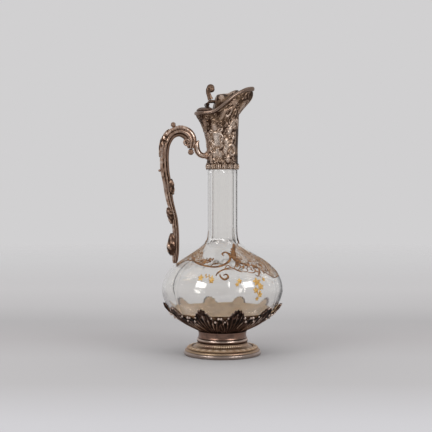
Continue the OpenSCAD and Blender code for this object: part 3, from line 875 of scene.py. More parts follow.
@dataclass(frozen=True)
class MattPaper(Finish):
    """Matt grey paper: pale in front, with a painted shade just behind the jug, clear at its far edge.

    Its tones run from 0.4 m in front of the jug to 1.4 m behind it.
    """

    ahead: tuple[float, float, float]
    name: str = "matt_backdrop_paper"
    # The darker middle tones are painted shade on the paper, around and just behind the jug
    tones: tuple[tuple[float, str], ...] = (
        (0.04, "#C0BFC2"), (0.13, "#B5B3B4"), (0.21, "#B8B6B7"), (0.28, "#B4B1B2"),
        (0.37, "#B4B2B3"), (0.46, "#C1BFC0"), (0.6, "#CBC9CA"), (0.95, "#D1D0D1"))

    def shader(self, tree: bpy.types.NodeTree) -> bpy.types.NodeSocket:
        """Diffuse in tones by depth, the darker ones a painted shade about the jug, fading to clear
        with distance from the jug.
        """
        place = add_node(tree, "ShaderNodeTexCoord").outputs["Object"]
        depth = add_node(tree, "ShaderNodeVectorMath", {"operation": "DOT_PRODUCT"},
                         {0: place, 1: Vector(self.ahead)}).outputs["Value"]
        along = add_node(tree, "ShaderNodeMapRange", inputs={
            "Value": depth, "From Min": -0.4, "From Max": 1.4}).outputs["Result"]
        tone = add_node(tree, "ShaderNodeValToRGB", inputs={"Fac": along},
                        ramp=self.tones).outputs["Color"]
        far = add_node(tree, "ShaderNodeVectorMath", {"operation": "LENGTH"},
                       {0: place}).outputs["Value"]
        fade = add_node(tree, "ShaderNodeMapRange", inputs={
            "Value": far, "From Min": 0.9, "From Max": 2.0}).outputs["Result"]
        matt = add_node(tree, "ShaderNodeBsdfDiffuse", inputs={"Color": tone}).outputs[0]
        clear = add_node(tree, "ShaderNodeBsdfTransparent").outputs[0]
        return add_node(tree, "ShaderNodeMixShader", inputs={0: fade, 1: matt, 2: clear}).outputs[0]


# Chased and punched by hand: bright crests over brown, matted hollows
CHASED = Silver("tarnished_chased_silver", "#3E2C21", "#B29885", "#F4E4D6", "#937860", 0.26)
# Cast and rubbed by hands: warm, with broad shiny places
HANDLE = Silver("rubbed_handle_silver", "#35241A", "#B69680", "#F8E6D8", "#84685A", 0.24, cloud_mm=12)
# Stamped leaves, almost black in their veins, with sharp glints painted on the ribs
DARK_LEAF = Silver("oxidised_leaf_silver", "#180F0C", "#7A5E50", "#FAE6D8", "#46322A", 0.34)
# The leaf cup's inside, washed with gold: a soft beige through the glass
INSIDE = Silver("gilt_washed_silver_inside", "#6B5241", "#C9A683", "#FFE0B8", "#D9B48C", 0.5)
# Turned and burnished; the clear highlight along the ring and the shade below it are painted in
PLAIN = Silver("plain_silver_painted_highlight", "#5C473C", "#B29888", "#EEDCCF", "#94786A", 0.2, cloud_mm=16)
# Rolled edge, rubbed by the table: the greyest and brightest of the foot
EDGE = Silver("rubbed_foot_edge_silver", "#4C3F38", "#A6948A", "#F2E8E2", "#8C7A70", 0.2, cloud_mm=16)
# Turned, the band under the calyx: dark brown with streaks
BAND = Silver("dark_band_silver", "#2C1C16", "#8E6E5F", "#D6BAAA", "#33201A", 0.24, cloud_mm=7)
# Spun and once gilt: a soft yellow-brown sheen
FOOT = Silver("gilt_toned_foot_silver", "#5E4835", "#A88C70", "#EBD6BE", "#967160", 0.36, cloud_mm=14)
# Drawn wire and plain castings near the mouth: dark, smooth, with narrow highlights
RIM = Silver("dulled_rim_silver", "#33231A", "#755C4D", "#DCC6B6", "#5C4435", 0.22, cloud_mm=13)
# Stamped border with traces of gilding: matt gold-beige, since it scatters light; its colours are
# painted lighter than the domed foot's to lift the shade that falls on the border
LEAFLETS = Silver("gilt_leaflet_silver_painted_lighter", "#8A6E52", "#CDAE8E", "#F6E0C8", "#B08A6C", 0.5,
                  cloud_mm=14, metal=0.6)
CRYSTAL = LeadCrystal()
# Fired gold over raised enamel: brown where it is thin
GOLD = RaisedGold("raised_brown_gold", "#9C6E42", "#573820", 0.42)
# Thicker yellow gold on the flowers
PALE_GOLD = RaisedGold("flower_gold", "#E0B768", "#AE8140", 0.36)
WASH = EnamelWash()
PLASTER = BeddingPlaster()


# Sub-assemblies


@dataclass
class Foot:
    """The turned foot: rolled rim, domed shell with its leaf border, ring and plain band."""

    columns: int = 240
    flutes: int = 72

    def rim(self) -> Skin:
        """A half-round rolled edge with a flat underside."""
        h = F.rim_h / 2
        a = np.radians(np.linspace(-78, 95, 26))
        edge = np.stack([F.foot_r - h + h * np.cos(a), h + h * np.sin(a)], -1)
        flat = np.array([(F.foot_r - 3.5, F.rim_h), (F.foot_r - 3.5, 2.4), (F.foot_r - 3.5, 0.02),
                         (F.foot_r - 2.9, 0), (F.foot_r - 1.3, 0)])
        return turned(np.vstack([edge, flat]), self.columns)

    def dome(self) -> Skin:
        """The domed shell, with fine upright flutes on its steep inner slope."""
        at = lambda t: mix(F.band_r, F.foot_r, t)
        h, rise = F.rim_h, F.foot_rise
        face = smooth_path([
            (at(0.9167), h + 0.05), (at(0.8782), h + rise * 0.16), (at(0.7564), h + rise * 0.28),
            (at(0.4872), h + rise * 0.405), (at(0.3205), h + rise * 0.51),
            (at(0.1795), h + rise * 0.64), (at(0.1026), h + rise * 0.78),
            (at(0.0897), F.foot_top)], 9)
        inside = np.array([
            (F.band_r - 1.5, F.foot_top), (F.band_r - 1.5, F.foot_top - 1.2),
            (F.band_r + 0.2, F.foot_top - 1.2), (F.band_r + 0.5, h + rise * 0.74 - 1.2),
            (at(0.1538), h + rise * 0.62 - 1.2), (at(0.4872), h + rise * 0.405 - 1.32),
            (at(0.7436), h + 0.05)])
        skin = turned(np.vstack([face, inside]), self.columns * 3)
        z = skin.points[..., 2]
        a = np.arctan2(skin.points[..., 1], skin.points[..., 0])
        outer = (np.arange(len(z)) < len(face))[:, None]
        share = hump(z, h + rise * 0.76, rise * 0.22) * outer
        wave = np.abs(np.cos(a * self.flutes / 2))
        skin.wear_and_painted_light = mix(0.55, 0.2 + 0.7 * wave, share)
        return skin.raised(0.32 * share * (wave - 0.6))

    def leaf_border(self) -> Skin:
        """Thirty small overlapping leaves with a rib, lying on the slope of the foot."""
        at = lambda t: mix(F.band_r, F.foot_r, t)
        a = np.linspace(0, 2 * np.pi, F.foot_leaves * 32, endpoint=False)[None, :]
        t = np.linspace(0.03, 0.97, 22)[:, None]
        inner = np.array([at(0.4487), F.rim_h + F.foot_rise * 0.435])
        outer = np.array([at(0.7821), F.rim_h + F.foot_rise * 0.275])
        d = off_middle(np.degrees(a), F.foot_leaves) * F.foot_leaves / 180
        leaf = np.sin(np.pi * t) ** 0.8 * np.abs(np.cos(np.pi * d / 2)) ** 0.7
        rib = 0.3 * np.exp(-(d / 0.1) ** 2) * np.sin(np.pi * t)
        vein = 0.12 * np.cos(2 * np.pi * (4 * t - 1.5 * np.abs(d))) * leaf
        up = 0.87 + 0.7 * leaf + rib + vein
        r, z = mix(inner[0], outer[0], t), mix(inner[1], outer[1], t)
        top = about_axis(r, a, z + up)
        low = about_axis(r, a, z + 0.42)[::-1][[0, -1]]
        wear_and_painted_light = np.clip(0.3 + 0.55 * leaf + rib + vein, 0, 1)
        return Skin(np.vstack([top, low]), True, np.vstack([wear_and_painted_light, np.full((2, a.size), 0.3)]))

    def ring(self) -> Skin:
        """The bold half-round ring, with a painted highlight along its upper half and painted shade
        below it.
        """
        h = F.ring_h / 2 - 0.05
        a = np.radians(np.linspace(-90, 90, 30))
        edge = np.stack([F.band_r - 0.9 + h * np.cos(a), F.foot_top + F.ring_h / 2 + h * np.sin(a)], -1)
        back = np.array([(F.band_r - 2, F.ring_top - 0.05), (F.band_r - 2, F.foot_top + 0.05)])
        skin = turned(np.vstack([edge, back]), self.columns)
        # Painted highlight: a bright band on the upper half of the ring, with painted shade on its
        # lower half
        skin.wear_and_painted_light = 0.75 * hump(skin.points[..., 2], F.foot_top + h * 1.4, h * 0.7)
        return skin

    def band(self) -> Skin:
        """The plain waisted band."""
        face = smooth_path([
            (F.band_r + 0.5, F.ring_top + 0.05), (F.band_r, F.ring_top + F.band_h * 0.2),
            (F.band_r - 0.25, F.ring_top + F.band_h * 0.55), (F.band_r + 0.3, F.band_top - 0.05)], 8)
        back = np.array([(F.band_r - 2, F.band_top - 0.05), (F.band_r - 2, F.ring_top + 0.05)])
        return turned(np.vstack([face, back]), self.columns)

    def build(self) -> list[Piece]:
        """All pieces of the foot."""
        made = lambda name, skin, node, finish, slot: Piece(
            name, Body.JUG, slot, finish, [skin], (node,), 40)
        return [
            made("rolled_foot_rim", self.rim(), "foot_rim", EDGE, Slot.PLAIN),
            made("domed_foot", self.dome(), "foot_shell", FOOT, Slot.PLAIN),
            made("foot_leaf_band", self.leaf_border(), "foot_leaf_border", LEAFLETS, Slot.CHASED),
            made("half_round_ring", self.ring(), "stem_ring", PLAIN, Slot.PLAIN),
            made("waisted_band", self.band(), "base_band", BAND, Slot.PLAIN),
        ]


@dataclass
class Calyx:
    """The cup of ten tall veined leaves that holds the bowl, with small curled tips between."""

    turn_deg: float = -11
    per_leaf: int = 120
    lining_rise: float = 0.7

    def edge_height(self, a: Array) -> Array:
        """Height of the leafy edge at an angle in degrees, with small serrations."""
        d = np.abs(off_middle(a, F.leaves)) * F.leaves / 180
        tall = 0.46 + 0.54 * np.maximum(0, np.cos(np.radians(np.minimum(90 * d / 0.72, 90)))) ** 1.15
        low = 0.5 + 0.13 * np.cos(np.radians(90 * np.clip(np.abs(1 - d) / 0.36, 0, 1)))
        nick = 0.06 * np.abs(np.sin(np.pi * d * 6.5))
        return F.glass_z + F.leaf_rise * (np.maximum(tall, low) - nick)

    def cup(self) -> Array:
        """Radius and height of the cup's outer face."""
        return smooth_path([
            (F.band_r + 0.1, F.band_top), (F.band_r + 1.4, F.band_top + 1.4),
            (F.bowl_r * 0.522, F.glass_z + F.bowl_h * 0.02),
            (F.bowl_r * 0.674, F.glass_z + F.bowl_h * 0.083),
            (F.bowl_r * 0.819, F.glass_z + F.bowl_h * 0.158),
            (F.bowl_r * 0.906, F.glass_z + F.bowl_h * 0.225),
            (F.bowl_r * 0.958, F.glass_z + F.bowl_h * 0.288),
            (F.bowl_r * 0.99, F.glass_z + F.bowl_h * 0.36)], 10)

    def around(self, radius: Array, angle: Array, z: Array) -> Array:
        """Points at a radius, an angle in degrees before the calyx is turned, and a height."""
        return about_axis(radius, np.radians(angle + self.turn_deg), z)

    def leaves(self) -> Skin:
        """The outer leaves by rows of height, then the inner wall down to the cup's floor, with glints
        painted on the ribs, the crumpled bumps and the top edges.
        """
        cup, bowl = self.cup(), F.bowl_curve(10)
        a = np.linspace(0, 360, F.leaves * self.per_leaf, endpoint=False)[None, :]
        edge = self.edge_height(a)
        d = off_middle(a, F.leaves) * F.leaves / 180
        tall = ease((edge - F.glass_z - F.leaf_rise * 0.5) / (F.leaf_rise * 0.4))
        t = np.linspace(0, 1, 60)[:, None]
        z = mix(F.band_top, edge, t)
        body = 0.9 * np.sin(np.radians(160 * t)) * np.abs(np.cos(np.pi * d / 2)) ** 1.6
        fan = d / (0.62 + 0.38 * t)
        line = np.exp(-(np.abs(np.mod(fan * 3.5 + 0.5, 1) - 0.5) / 0.12) ** 2)
        ribs = line * np.sin(np.pi * np.clip(t * 1.05, 0, 1)) ** 0.7
        gap = np.exp(-((1 - np.abs(d)) / 0.06) ** 2) * np.sin(np.pi * t)
        curl = 1.7 * ease((t - 0.8) / 0.2) * (0.4 + 0.6 * tall)
        crumple = value_noise(a * 1.1, z, 1.8, 6)
        r = np.interp(z, cup[:, 1], cup[:, 0]) + body + 1.15 * ribs - 0.5 * gap + curl \
            + 0.42 * crumple * ease(t / 0.3)
        # Painted glints: patches of bright crest colour along the ribs, fewer up the tall leaves, on
        # the crumpled bumps and along the leaves' top edges
        painted_glint = ease((value_noise(a * 1.1, z, 5, 5) + 0.4) / 0.8)
        wear_and_painted_light = np.clip(0.02 + 1.3 * ribs * (0.45 + 0.55 * painted_glint) * (1 - 0.7 * tall * t)
                       + 0.4 * ease((crumple - 0.1) / 0.6) * painted_glint
                       + 0.6 * ease((t - 0.93) / 0.05) * painted_glint, 0, 1)
        s = np.linspace(0, 1, 14)[:, None]
        zi = mix(edge - 0.15, F.glass_z + 0.4, s)
        ri = np.interp(zi, bowl[:, 1], bowl[:, 0]) + 0.45 + 0.5 * (1 - s) ** 6
        floor = np.vstack([np.full_like(a, F.bowl_r * 0.36 + 0.1)] * 2)
        zf = np.vstack([np.full_like(a, F.glass_z), np.full_like(a, F.band_top + 1.4)])
        points = self.around(np.vstack([r, ri, floor]), a, np.vstack([z, zi, zf]))
        return Skin(points, False, np.vstack([wear_and_painted_light, np.full((16, a.size), 0.3)]))

    def lining(self) -> Skin:
        """The gilt-washed inner cup behind the leaves, which shows through the glass."""
        bowl = F.bowl_curve(10)
        a = np.linspace(0, 360, F.leaves * self.per_leaf, endpoint=False)[None, :]
        s = np.linspace(0, 1, 24)[:, None]
        top = np.maximum(self.edge_height(a) - 0.5, F.glass_z + F.leaf_rise * self.lining_rise)
        z = mix(F.glass_z + 0.5, top, s)
        r = np.interp(z, bowl[:, 1], bowl[:, 0])
        return Skin(self.around(np.vstack([r + 0.16, r[::-1] + 0.4]), a, np.vstack([z, z[::-1]])),
                    True, np.repeat([1.3, -0.3], 24)[:, None] + 0 * a)

    def tips(self) -> list[Skin]:
        """Small rolled tips along the low edge between the tall leaves, painted near crest-bright as
        glints.
        """
        cup, knobs, rng = self.cup(), [], np.random.default_rng(11)
        for leaf in range(F.leaves):
            for d in (-0.92, -0.7, -0.5, 0.5, 0.7, 0.92):
                angle = (leaf + d / 2) * 360 / F.leaves
                z = float(self.edge_height(np.array([angle]))[0]) - 0.3
                x, y, h = self.around(np.interp(z, cup[:, 1], cup[:, 0]) + 1.0, angle, z)
                # Painted glints: each tip gets a level near the bright crest colour
                knobs.append(ball(x, y, h, rng.uniform(0.9, 1.5), 12).evenly(rng.uniform(0.8, 1)))
        return knobs

    def build(self) -> list[Piece]:
        """The calyx and its pale inner face."""
        made = lambda name, finish, skins, *nodes: Piece(
            name, Body.JUG, Slot.CHASED, finish, skins, nodes)
        return [made("leaf_calyx", DARK_LEAF, [self.leaves()] + self.tips(), "calyx"),
                made("calyx_inside", INSIDE, [self.lining()])]


@dataclass
class Crystal:
    """The blown and lobed glass with its six-sided neck."""

    columns: int = 300
    wall: float = 2.8
    neck_bore: float = 13.2

    def surface(self, angle: Array, z: Array) -> Array:
        """Points on the outside of the glass at angles in degrees and heights."""
        curve = F.bowl_curve(14)
        r = np.interp(z, curve[:, 1], curve[:, 0]) * F.glass_shape(angle, z)
        return about_axis(r, np.radians(angle), z)

    def facing(self, angle: Array, z: Array) -> tuple[Array, Array]:
        """Points on the outside and the unit normals there.

        The normal is the cross product of two short steps on the surface: one round, one up.

        Args:
            angle: angles in degrees.
            z: heights.

        Returns:
            The points and the normals, which point outward.
        """
        step = 0.05
        q = self.surface(angle, z)
        n = np.cross(self.surface(angle + step, z) - q, self.surface(angle, z + step) - q)
        return q, n / np.linalg.norm(n, axis=-1, keepdims=True)

    def hollow(self) -> Array:
        """Radius and height of the hollow from its floor to the bore: the outside less the wall."""
        c = F.bowl_curve(10)
        t = np.gradient(c, axis=0)
        t /= np.linalg.norm(t, axis=1, keepdims=True)
        wall = np.interp(c[:, 1], [F.glass_z, F.glass_z + 8, F.neck_z - 16, F.neck_z + 9],
                         [4, self.wall, self.wall, F.neck_r - self.neck_bore])
        inner = c + np.stack([-t[:, 1], t[:, 0]], -1) * wall[:, None]
        return np.vstack([[(1.3, F.glass_z + 4.6), (12, F.glass_z + 4.4)], inner])

    def skin(self) -> Skin:
        """The outside from base to mouth, then the hollow from the mouth down to its floor."""
        top = F.collar_z + F.grip_h
        neck = np.array([
            (F.neck_r, mix(F.neck_z + 9, F.collar_z, k / 8)) for k in range(1, 8)] + [
            (F.neck_r, F.collar_z - 1.3), (F.neck_r - 0.5, F.collar_z - 0.6),
            (F.tenon_r + 0.2, F.collar_z - 0.2), (F.tenon_r, F.collar_z + 1.5),
            (F.tenon_r, top - 0.4), (F.tenon_r - 0.4, top)])
        outer = np.vstack([F.bowl_curve(12), neck])
        hollow = np.vstack([self.hollow(), [
            (self.neck_bore, F.neck_z + 14), (self.neck_bore, F.collar_z - 4),
            (self.neck_bore, F.collar_z + 5), (self.neck_bore, F.collar_z + 6),
            (F.bore_r, F.collar_z + 12), (F.bore_r, F.collar_z + 14), (F.bore_r, top - 0.4),
            (F.bore_r + 0.4, top)]])[::-1]
        a = np.linspace(0, 360, self.columns, endpoint=False)[None, :]
        out_r = outer[:, 0, None] * F.glass_shape(a, outer[:, 1, None])
        up = hollow[:, 1, None]
        soft = 1 - 0.9 * (1 - F.glass_shape(a, np.minimum(up, F.neck_z - 6))) \
            * ease((F.neck_z + 2 - up) / 14)
        in_r = hollow[:, 0, None] * soft
        r = np.vstack([out_r, in_r])
        return Skin(about_axis(r, np.radians(a), np.vstack([outer[:, 1:], hollow[:, 1:]])))

    def build(self) -> list[Piece]:
        """The glass as one piece."""
        return [Piece("lobed_crystal", Body.JUG, Slot.GLASS, CRYSTAL, [self.skin()],
                      ("glass_body",))]


@dataclass
class Gilding:
    """Raised gilt scrolls, trellis and flowers on the shoulder, richest towards -Y."""

    glass: Crystal
    shoulder_r: float = 58

    def cord(self, path: Sequence, half: float = 0.6, high: float = 0.34, steps: int = 7) -> Skin:
        """A round-backed line on the glass, tapered at its ends.

        The section is half an ellipse about the glass's own normal, with its underside just below
        the surface.

        Args:
            path: rows of angle in degrees and height.
            half: half width at the middle.
            high: height at the middle.
            steps: samples from each point to the next.

        Returns:
            The line, whose level is 1 on top and 0 on its underside.
        """
        p = smooth_path(path, steps)
        q, n = self.glass.facing(p[:, 0], p[:, 1])
        side = np.cross(n, np.gradient(q, axis=0))
        side /= np.maximum(np.linalg.norm(side, axis=1, keepdims=True), 1e-9)
        taper = np.sin(np.pi * np.linspace(0.06, 0.94, len(p)))[:, None] ** 0.45
        a = np.linspace(0, 2 * np.pi, 10, endpoint=False)[None, :]
        across = (half * taper * np.cos(a))[..., None]
        up = (np.where(np.sin(a) > 0, high, 0.08) * taper * np.sin(a))[..., None]
        top = np.broadcast_to(ease(np.sin(a) * 4 + 1), (len(q), 10))
        return Skin(q[:, None] + side[:, None] * across + n[:, None] * up, wear_and_painted_light=top)

    def petal(self, angle: float, z: float, lean: float, size: float, high: float = 0.5) -> Skin:
        """A plump petal: a short wide cord.

        Args:
            angle: place of its root in degrees.
            z: height of its root.
            lean: direction on the glass in degrees, from level.
            size: length.
            high: height off the glass.

        Returns:
            The petal.
        """
        scale = 180 / math.pi / max(np.linalg.norm(self.glass.surface(
            np.array([angle]), np.array([z]))[0, :2]), 1)
        t = np.linspace(0, size, 4)
        path = np.stack([angle + t * math.cos(math.radians(lean)) * scale,
                         z + t * math.sin(math.radians(lean))], -1)
        return self.cord(path, size * 0.33, high, 3)

    def flower(self, angle: float, z: float, size: float) -> list[Skin]:
        """Five petals."""
        return [self.petal(angle, z, 72 * k + 18, size) for k in range(5)]

    def spray(self, angle: float, z: float, lean: float, length: float) -> list[Skin]:
        """A stem that bends by 24 degrees, with small leaves on alternate sides.

        Args:
            angle: place of its foot in degrees.
            z: height of its foot.
            lean: its first direction on the glass in degrees.
            length: length of the stem.

        Returns:
            The stem and its leaves.
        """
        t = np.linspace(0, 1, 7)
        scale = 180 / math.pi / self.shoulder_r
        lean_r = np.radians(lean + 24 * t)
        a = angle + np.cumsum(np.cos(lean_r)) * length / 7 * scale
        h = z + np.cumsum(np.sin(lean_r)) * length / 7
        leaves = [self.petal(a[k], h[k], lean + (70 if k % 2 else -60), 2.2, 0.3)
                  for k in range(1, 7)]
        return [self.cord(np.stack([a, h], -1), 0.26, 0.2, 3)] + leaves

    def trellis(self, low: Sequence, high: Sequence, lines: int) -> list[Skin]:
        """Crossed diagonal lines between a lower and an upper edge, and the lower edge itself.

        Args:
            low: points of the lower edge, in angle and height.
            high: points of the upper edge.
            lines: lines of each slant.

        Returns:
            The lines.
        """
        lo, hi = smooth_path(low, 8), smooth_path(high, 8)
        at = lambda e, t: np.array([np.interp(t, np.linspace(0, 1, len(e)), e[:, k]) for k in (0, 1)])
        skins = []
        for k in range(-3, lines + 1):
            for side in (1, -1):
                a, b = k / lines, (k + 3.0) / lines
                ends = (a, b) if side == 1 else (b, a)
                s = np.linspace(0, 1, 7)
                u = mix(ends[0], ends[1], s)
                keep = (u >= 0) & (u <= 1)
                if keep.sum() < 3:
                    continue
                pts = [mix(at(lo, x), at(hi, x), y) for x, y in zip(u[keep], s[keep])]
                skins.append(self.cord(pts, 0.22, 0.14, 2))
        return skins + [self.cord(low, 0.75, 0.36, 8)]

    def wash(self, low: Sequence, high: Sequence) -> Skin:
        """A sheet of enamel 0.1 mm thick: straight lines from a lower to an upper edge.

        Args:
            low: points of the lower edge, in angle and height.
            high: points of the upper edge.

        Returns:
            The sheet.
        """
        lo, hi = smooth_path(low, 10), smooth_path(high, 10)
        at = np.linspace(0, 1, 60)
        pick = lambda e: np.stack([np.interp(at, np.linspace(0, 1, len(e)), e[:, k])
                                   for k in (0, 1)], -1)
        s = np.linspace(0, 1, 16)[None, :, None]
        p = mix(pick(lo)[:, None], pick(hi)[:, None], s)
        q, n = self.glass.facing(p[..., 0], p[..., 1])
        return Skin(np.concatenate([q + n * 0.14, (q + n * 0.04)[:, ::-1]], 1))

    def cluster(self, middle: tuple[float, float], spread: tuple[float, float], count: int,
                size: float, seed: int) -> list[Skin]:
        """Small gilt leaves scattered by chance about a middle.

        Args:
            middle: angle in degrees and height.
            spread: how far they scatter in each.
            count: how many.
            size: mean length.
            seed: number that fixes the draw.

        Returns:
            The leaves.
        """
        rng = np.random.default_rng(seed)
        return [self.petal(middle[0] + rng.normal() * spread[0], middle[1] + rng.normal() * spread[1],
                           rng.uniform(0, 360), size * rng.uniform(0.6, 1.3), 0.34)
                for _ in range(count)]

    def side(self) -> tuple[list[Skin], list[Skin], list[Skin], list[Skin]]:
        """The ornament towards -Y: gold lines, gold lace, pale gold flowers and enamel wash."""
        field = ([(-79, 100), (-62, 97.6), (-54.4, 94.4), (-44, 88), (-30, 83.5), (-14, 84)],
                 [(-80, 108), (-63, 116), (-50, 117), (-38, 114.5), (-24, 109), (-8, 102)])
        rear = ([(-178, 96), (-168, 97.6), (-160, 101), (-145, 101), (-122, 99)],
                [(-178, 108), (-172, 117), (-160, 118), (-146, 110), (-124, 103)])
        gold = [
            self.cord([(-163, 106), (-137, 100), (-120, 97.4), (-108, 96.4), (-98.8, 97.7),
                       (-90.2, 100.9), (-84.8, 105), (-86, 108.5), (-92, 110), (-98.5, 108.6),
                       (-96, 106.6)], 1.35, 0.5),
            self.cord([(-128, 98.6), (-123, 102.2), (-117, 101.6), (-119, 99.4)], 0.75),
            self.cord([(-113, 96.8), (-108.5, 99.8), (-103.5, 99)], 0.7),
            self.cord([(-105, 88), (-102.6, 91.6), (-95.2, 94.4), (-86.6, 95.3), (-80, 92.6),
                       (-76, 91.4)], 0.95),
            self.cord([(-103, 90), (-99, 93), (-92, 94), (-85, 93.4)], 0.4),
            self.cord([(-101, 89.6), (-100, 87), (-96.2, 84.6), (-92.4, 86.6), (-94, 89.4),
                       (-97.4, 88.6)], 1.1, 0.5),
            self.cord([(-80, 93.6), (-74, 96.4), (-62.2, 97.4), (-54, 96), (-54.6, 91.6),
                       (-60, 87), (-63, 88.6)], 0.85),
            self.cord([(-72, 96.2), (-69, 93), (-73, 91.4), (-76, 93)], 0.5),
            self.cord([(-54, 96), (-48, 98.6), (-43, 96.4), (-46, 94)], 0.6),
            self.cord([(-84, 95), (-80, 99), (-75.4, 98), (-77.4, 95.4)], 0.7),
            self.cord([(-96, 94.2), (-92.4, 97.6), (-88.4, 96.4), (-90, 94.8)], 0.6),
            self.cord([(-70, 91), (-64, 90.4), (-59, 92.6), (-61.6, 94.6)], 0.7),
            self.cord([(-47, 92), (-40, 90.6), (-35, 92.6), (-38.6, 94.6)], 0.7),
            self.cord([(-48, 116.6), (-34, 119), (-27, 123), (-26, 134)], 0.6),
            self.cord([(-158, 118), (-170, 119), (-177, 123), (-178, 131)], 0.5),
        ]
        lace = self.trellis(*field, 15) + self.trellis(*rear, 9) + [
            self.cord([(-58, 118), (-63.2, 115.8), (-74, 110.6), (-80, 106), (-76.4, 100.8),
                       (-66.1, 97.8)], 2, 0.5)]
        for spec in (((-122, 101.4), (7, 1.6), 30, 2.1, 1), ((-76, 104), (2.4, 4), 40, 2.7, 2),
                     ((-62, 96), (6, 2), 38, 2.1, 3), ((-42, 95), (9, 5), 54, 1.9, 4),
                     ((-150, 105), (9, 3), 30, 1.7, 5)):
            lace += self.cluster(*spec)
        flowers = []
        for angle, z, size in ((-120, 86, 3.1), (-109, 83.4, 2.8), (-81.4, 82.8, 2.6),
                               (-84, 79.4, 2.1), (-64, 81.4, 4.1), (-60, 76.6, 3.4),
                               (-66, 73.4, 3.3), (-62, 68.6, 3), (-54.5, 83.4, 2.2),
                               (-65, 64.6, 2.2)):
            flowers += self.flower(angle, z, size)
        flowers += self.spray(-66, 64, 62, 20) + self.spray(-104, 84, 150, 12)
        return gold, lace, flowers, [self.wash(*field), self.wash(*rear)]

    def build(self) -> list[Piece]:
        """The gilding as pieces; its lines, without the two large hooks, are repeated towards +Y."""
        gold, lace, flowers, ground = self.side()
        plain = self.cord([(-163, 106), (-137, 100), (-120, 97.4), (-104, 97)], 1.1, 0.5)
        far = [Skin(line.points * np.array([1, -1, 1]), False, line.wear_and_painted_light)
               for line in gold[1:5] + gold[6:] + [plain]]
        return [
            Piece("gilt_scrollwork", Body.JUG, Slot.GLASS, GOLD, gold + far),
            Piece("gilt_flowers", Body.JUG, Slot.GLASS, PALE_GOLD, flowers),
            Piece("gilt_lace", Body.JUG, Slot.GLASS, GOLD, lace),
            Piece("enamel_ground", Body.JUG, Slot.GLASS, WASH, ground),
        ]


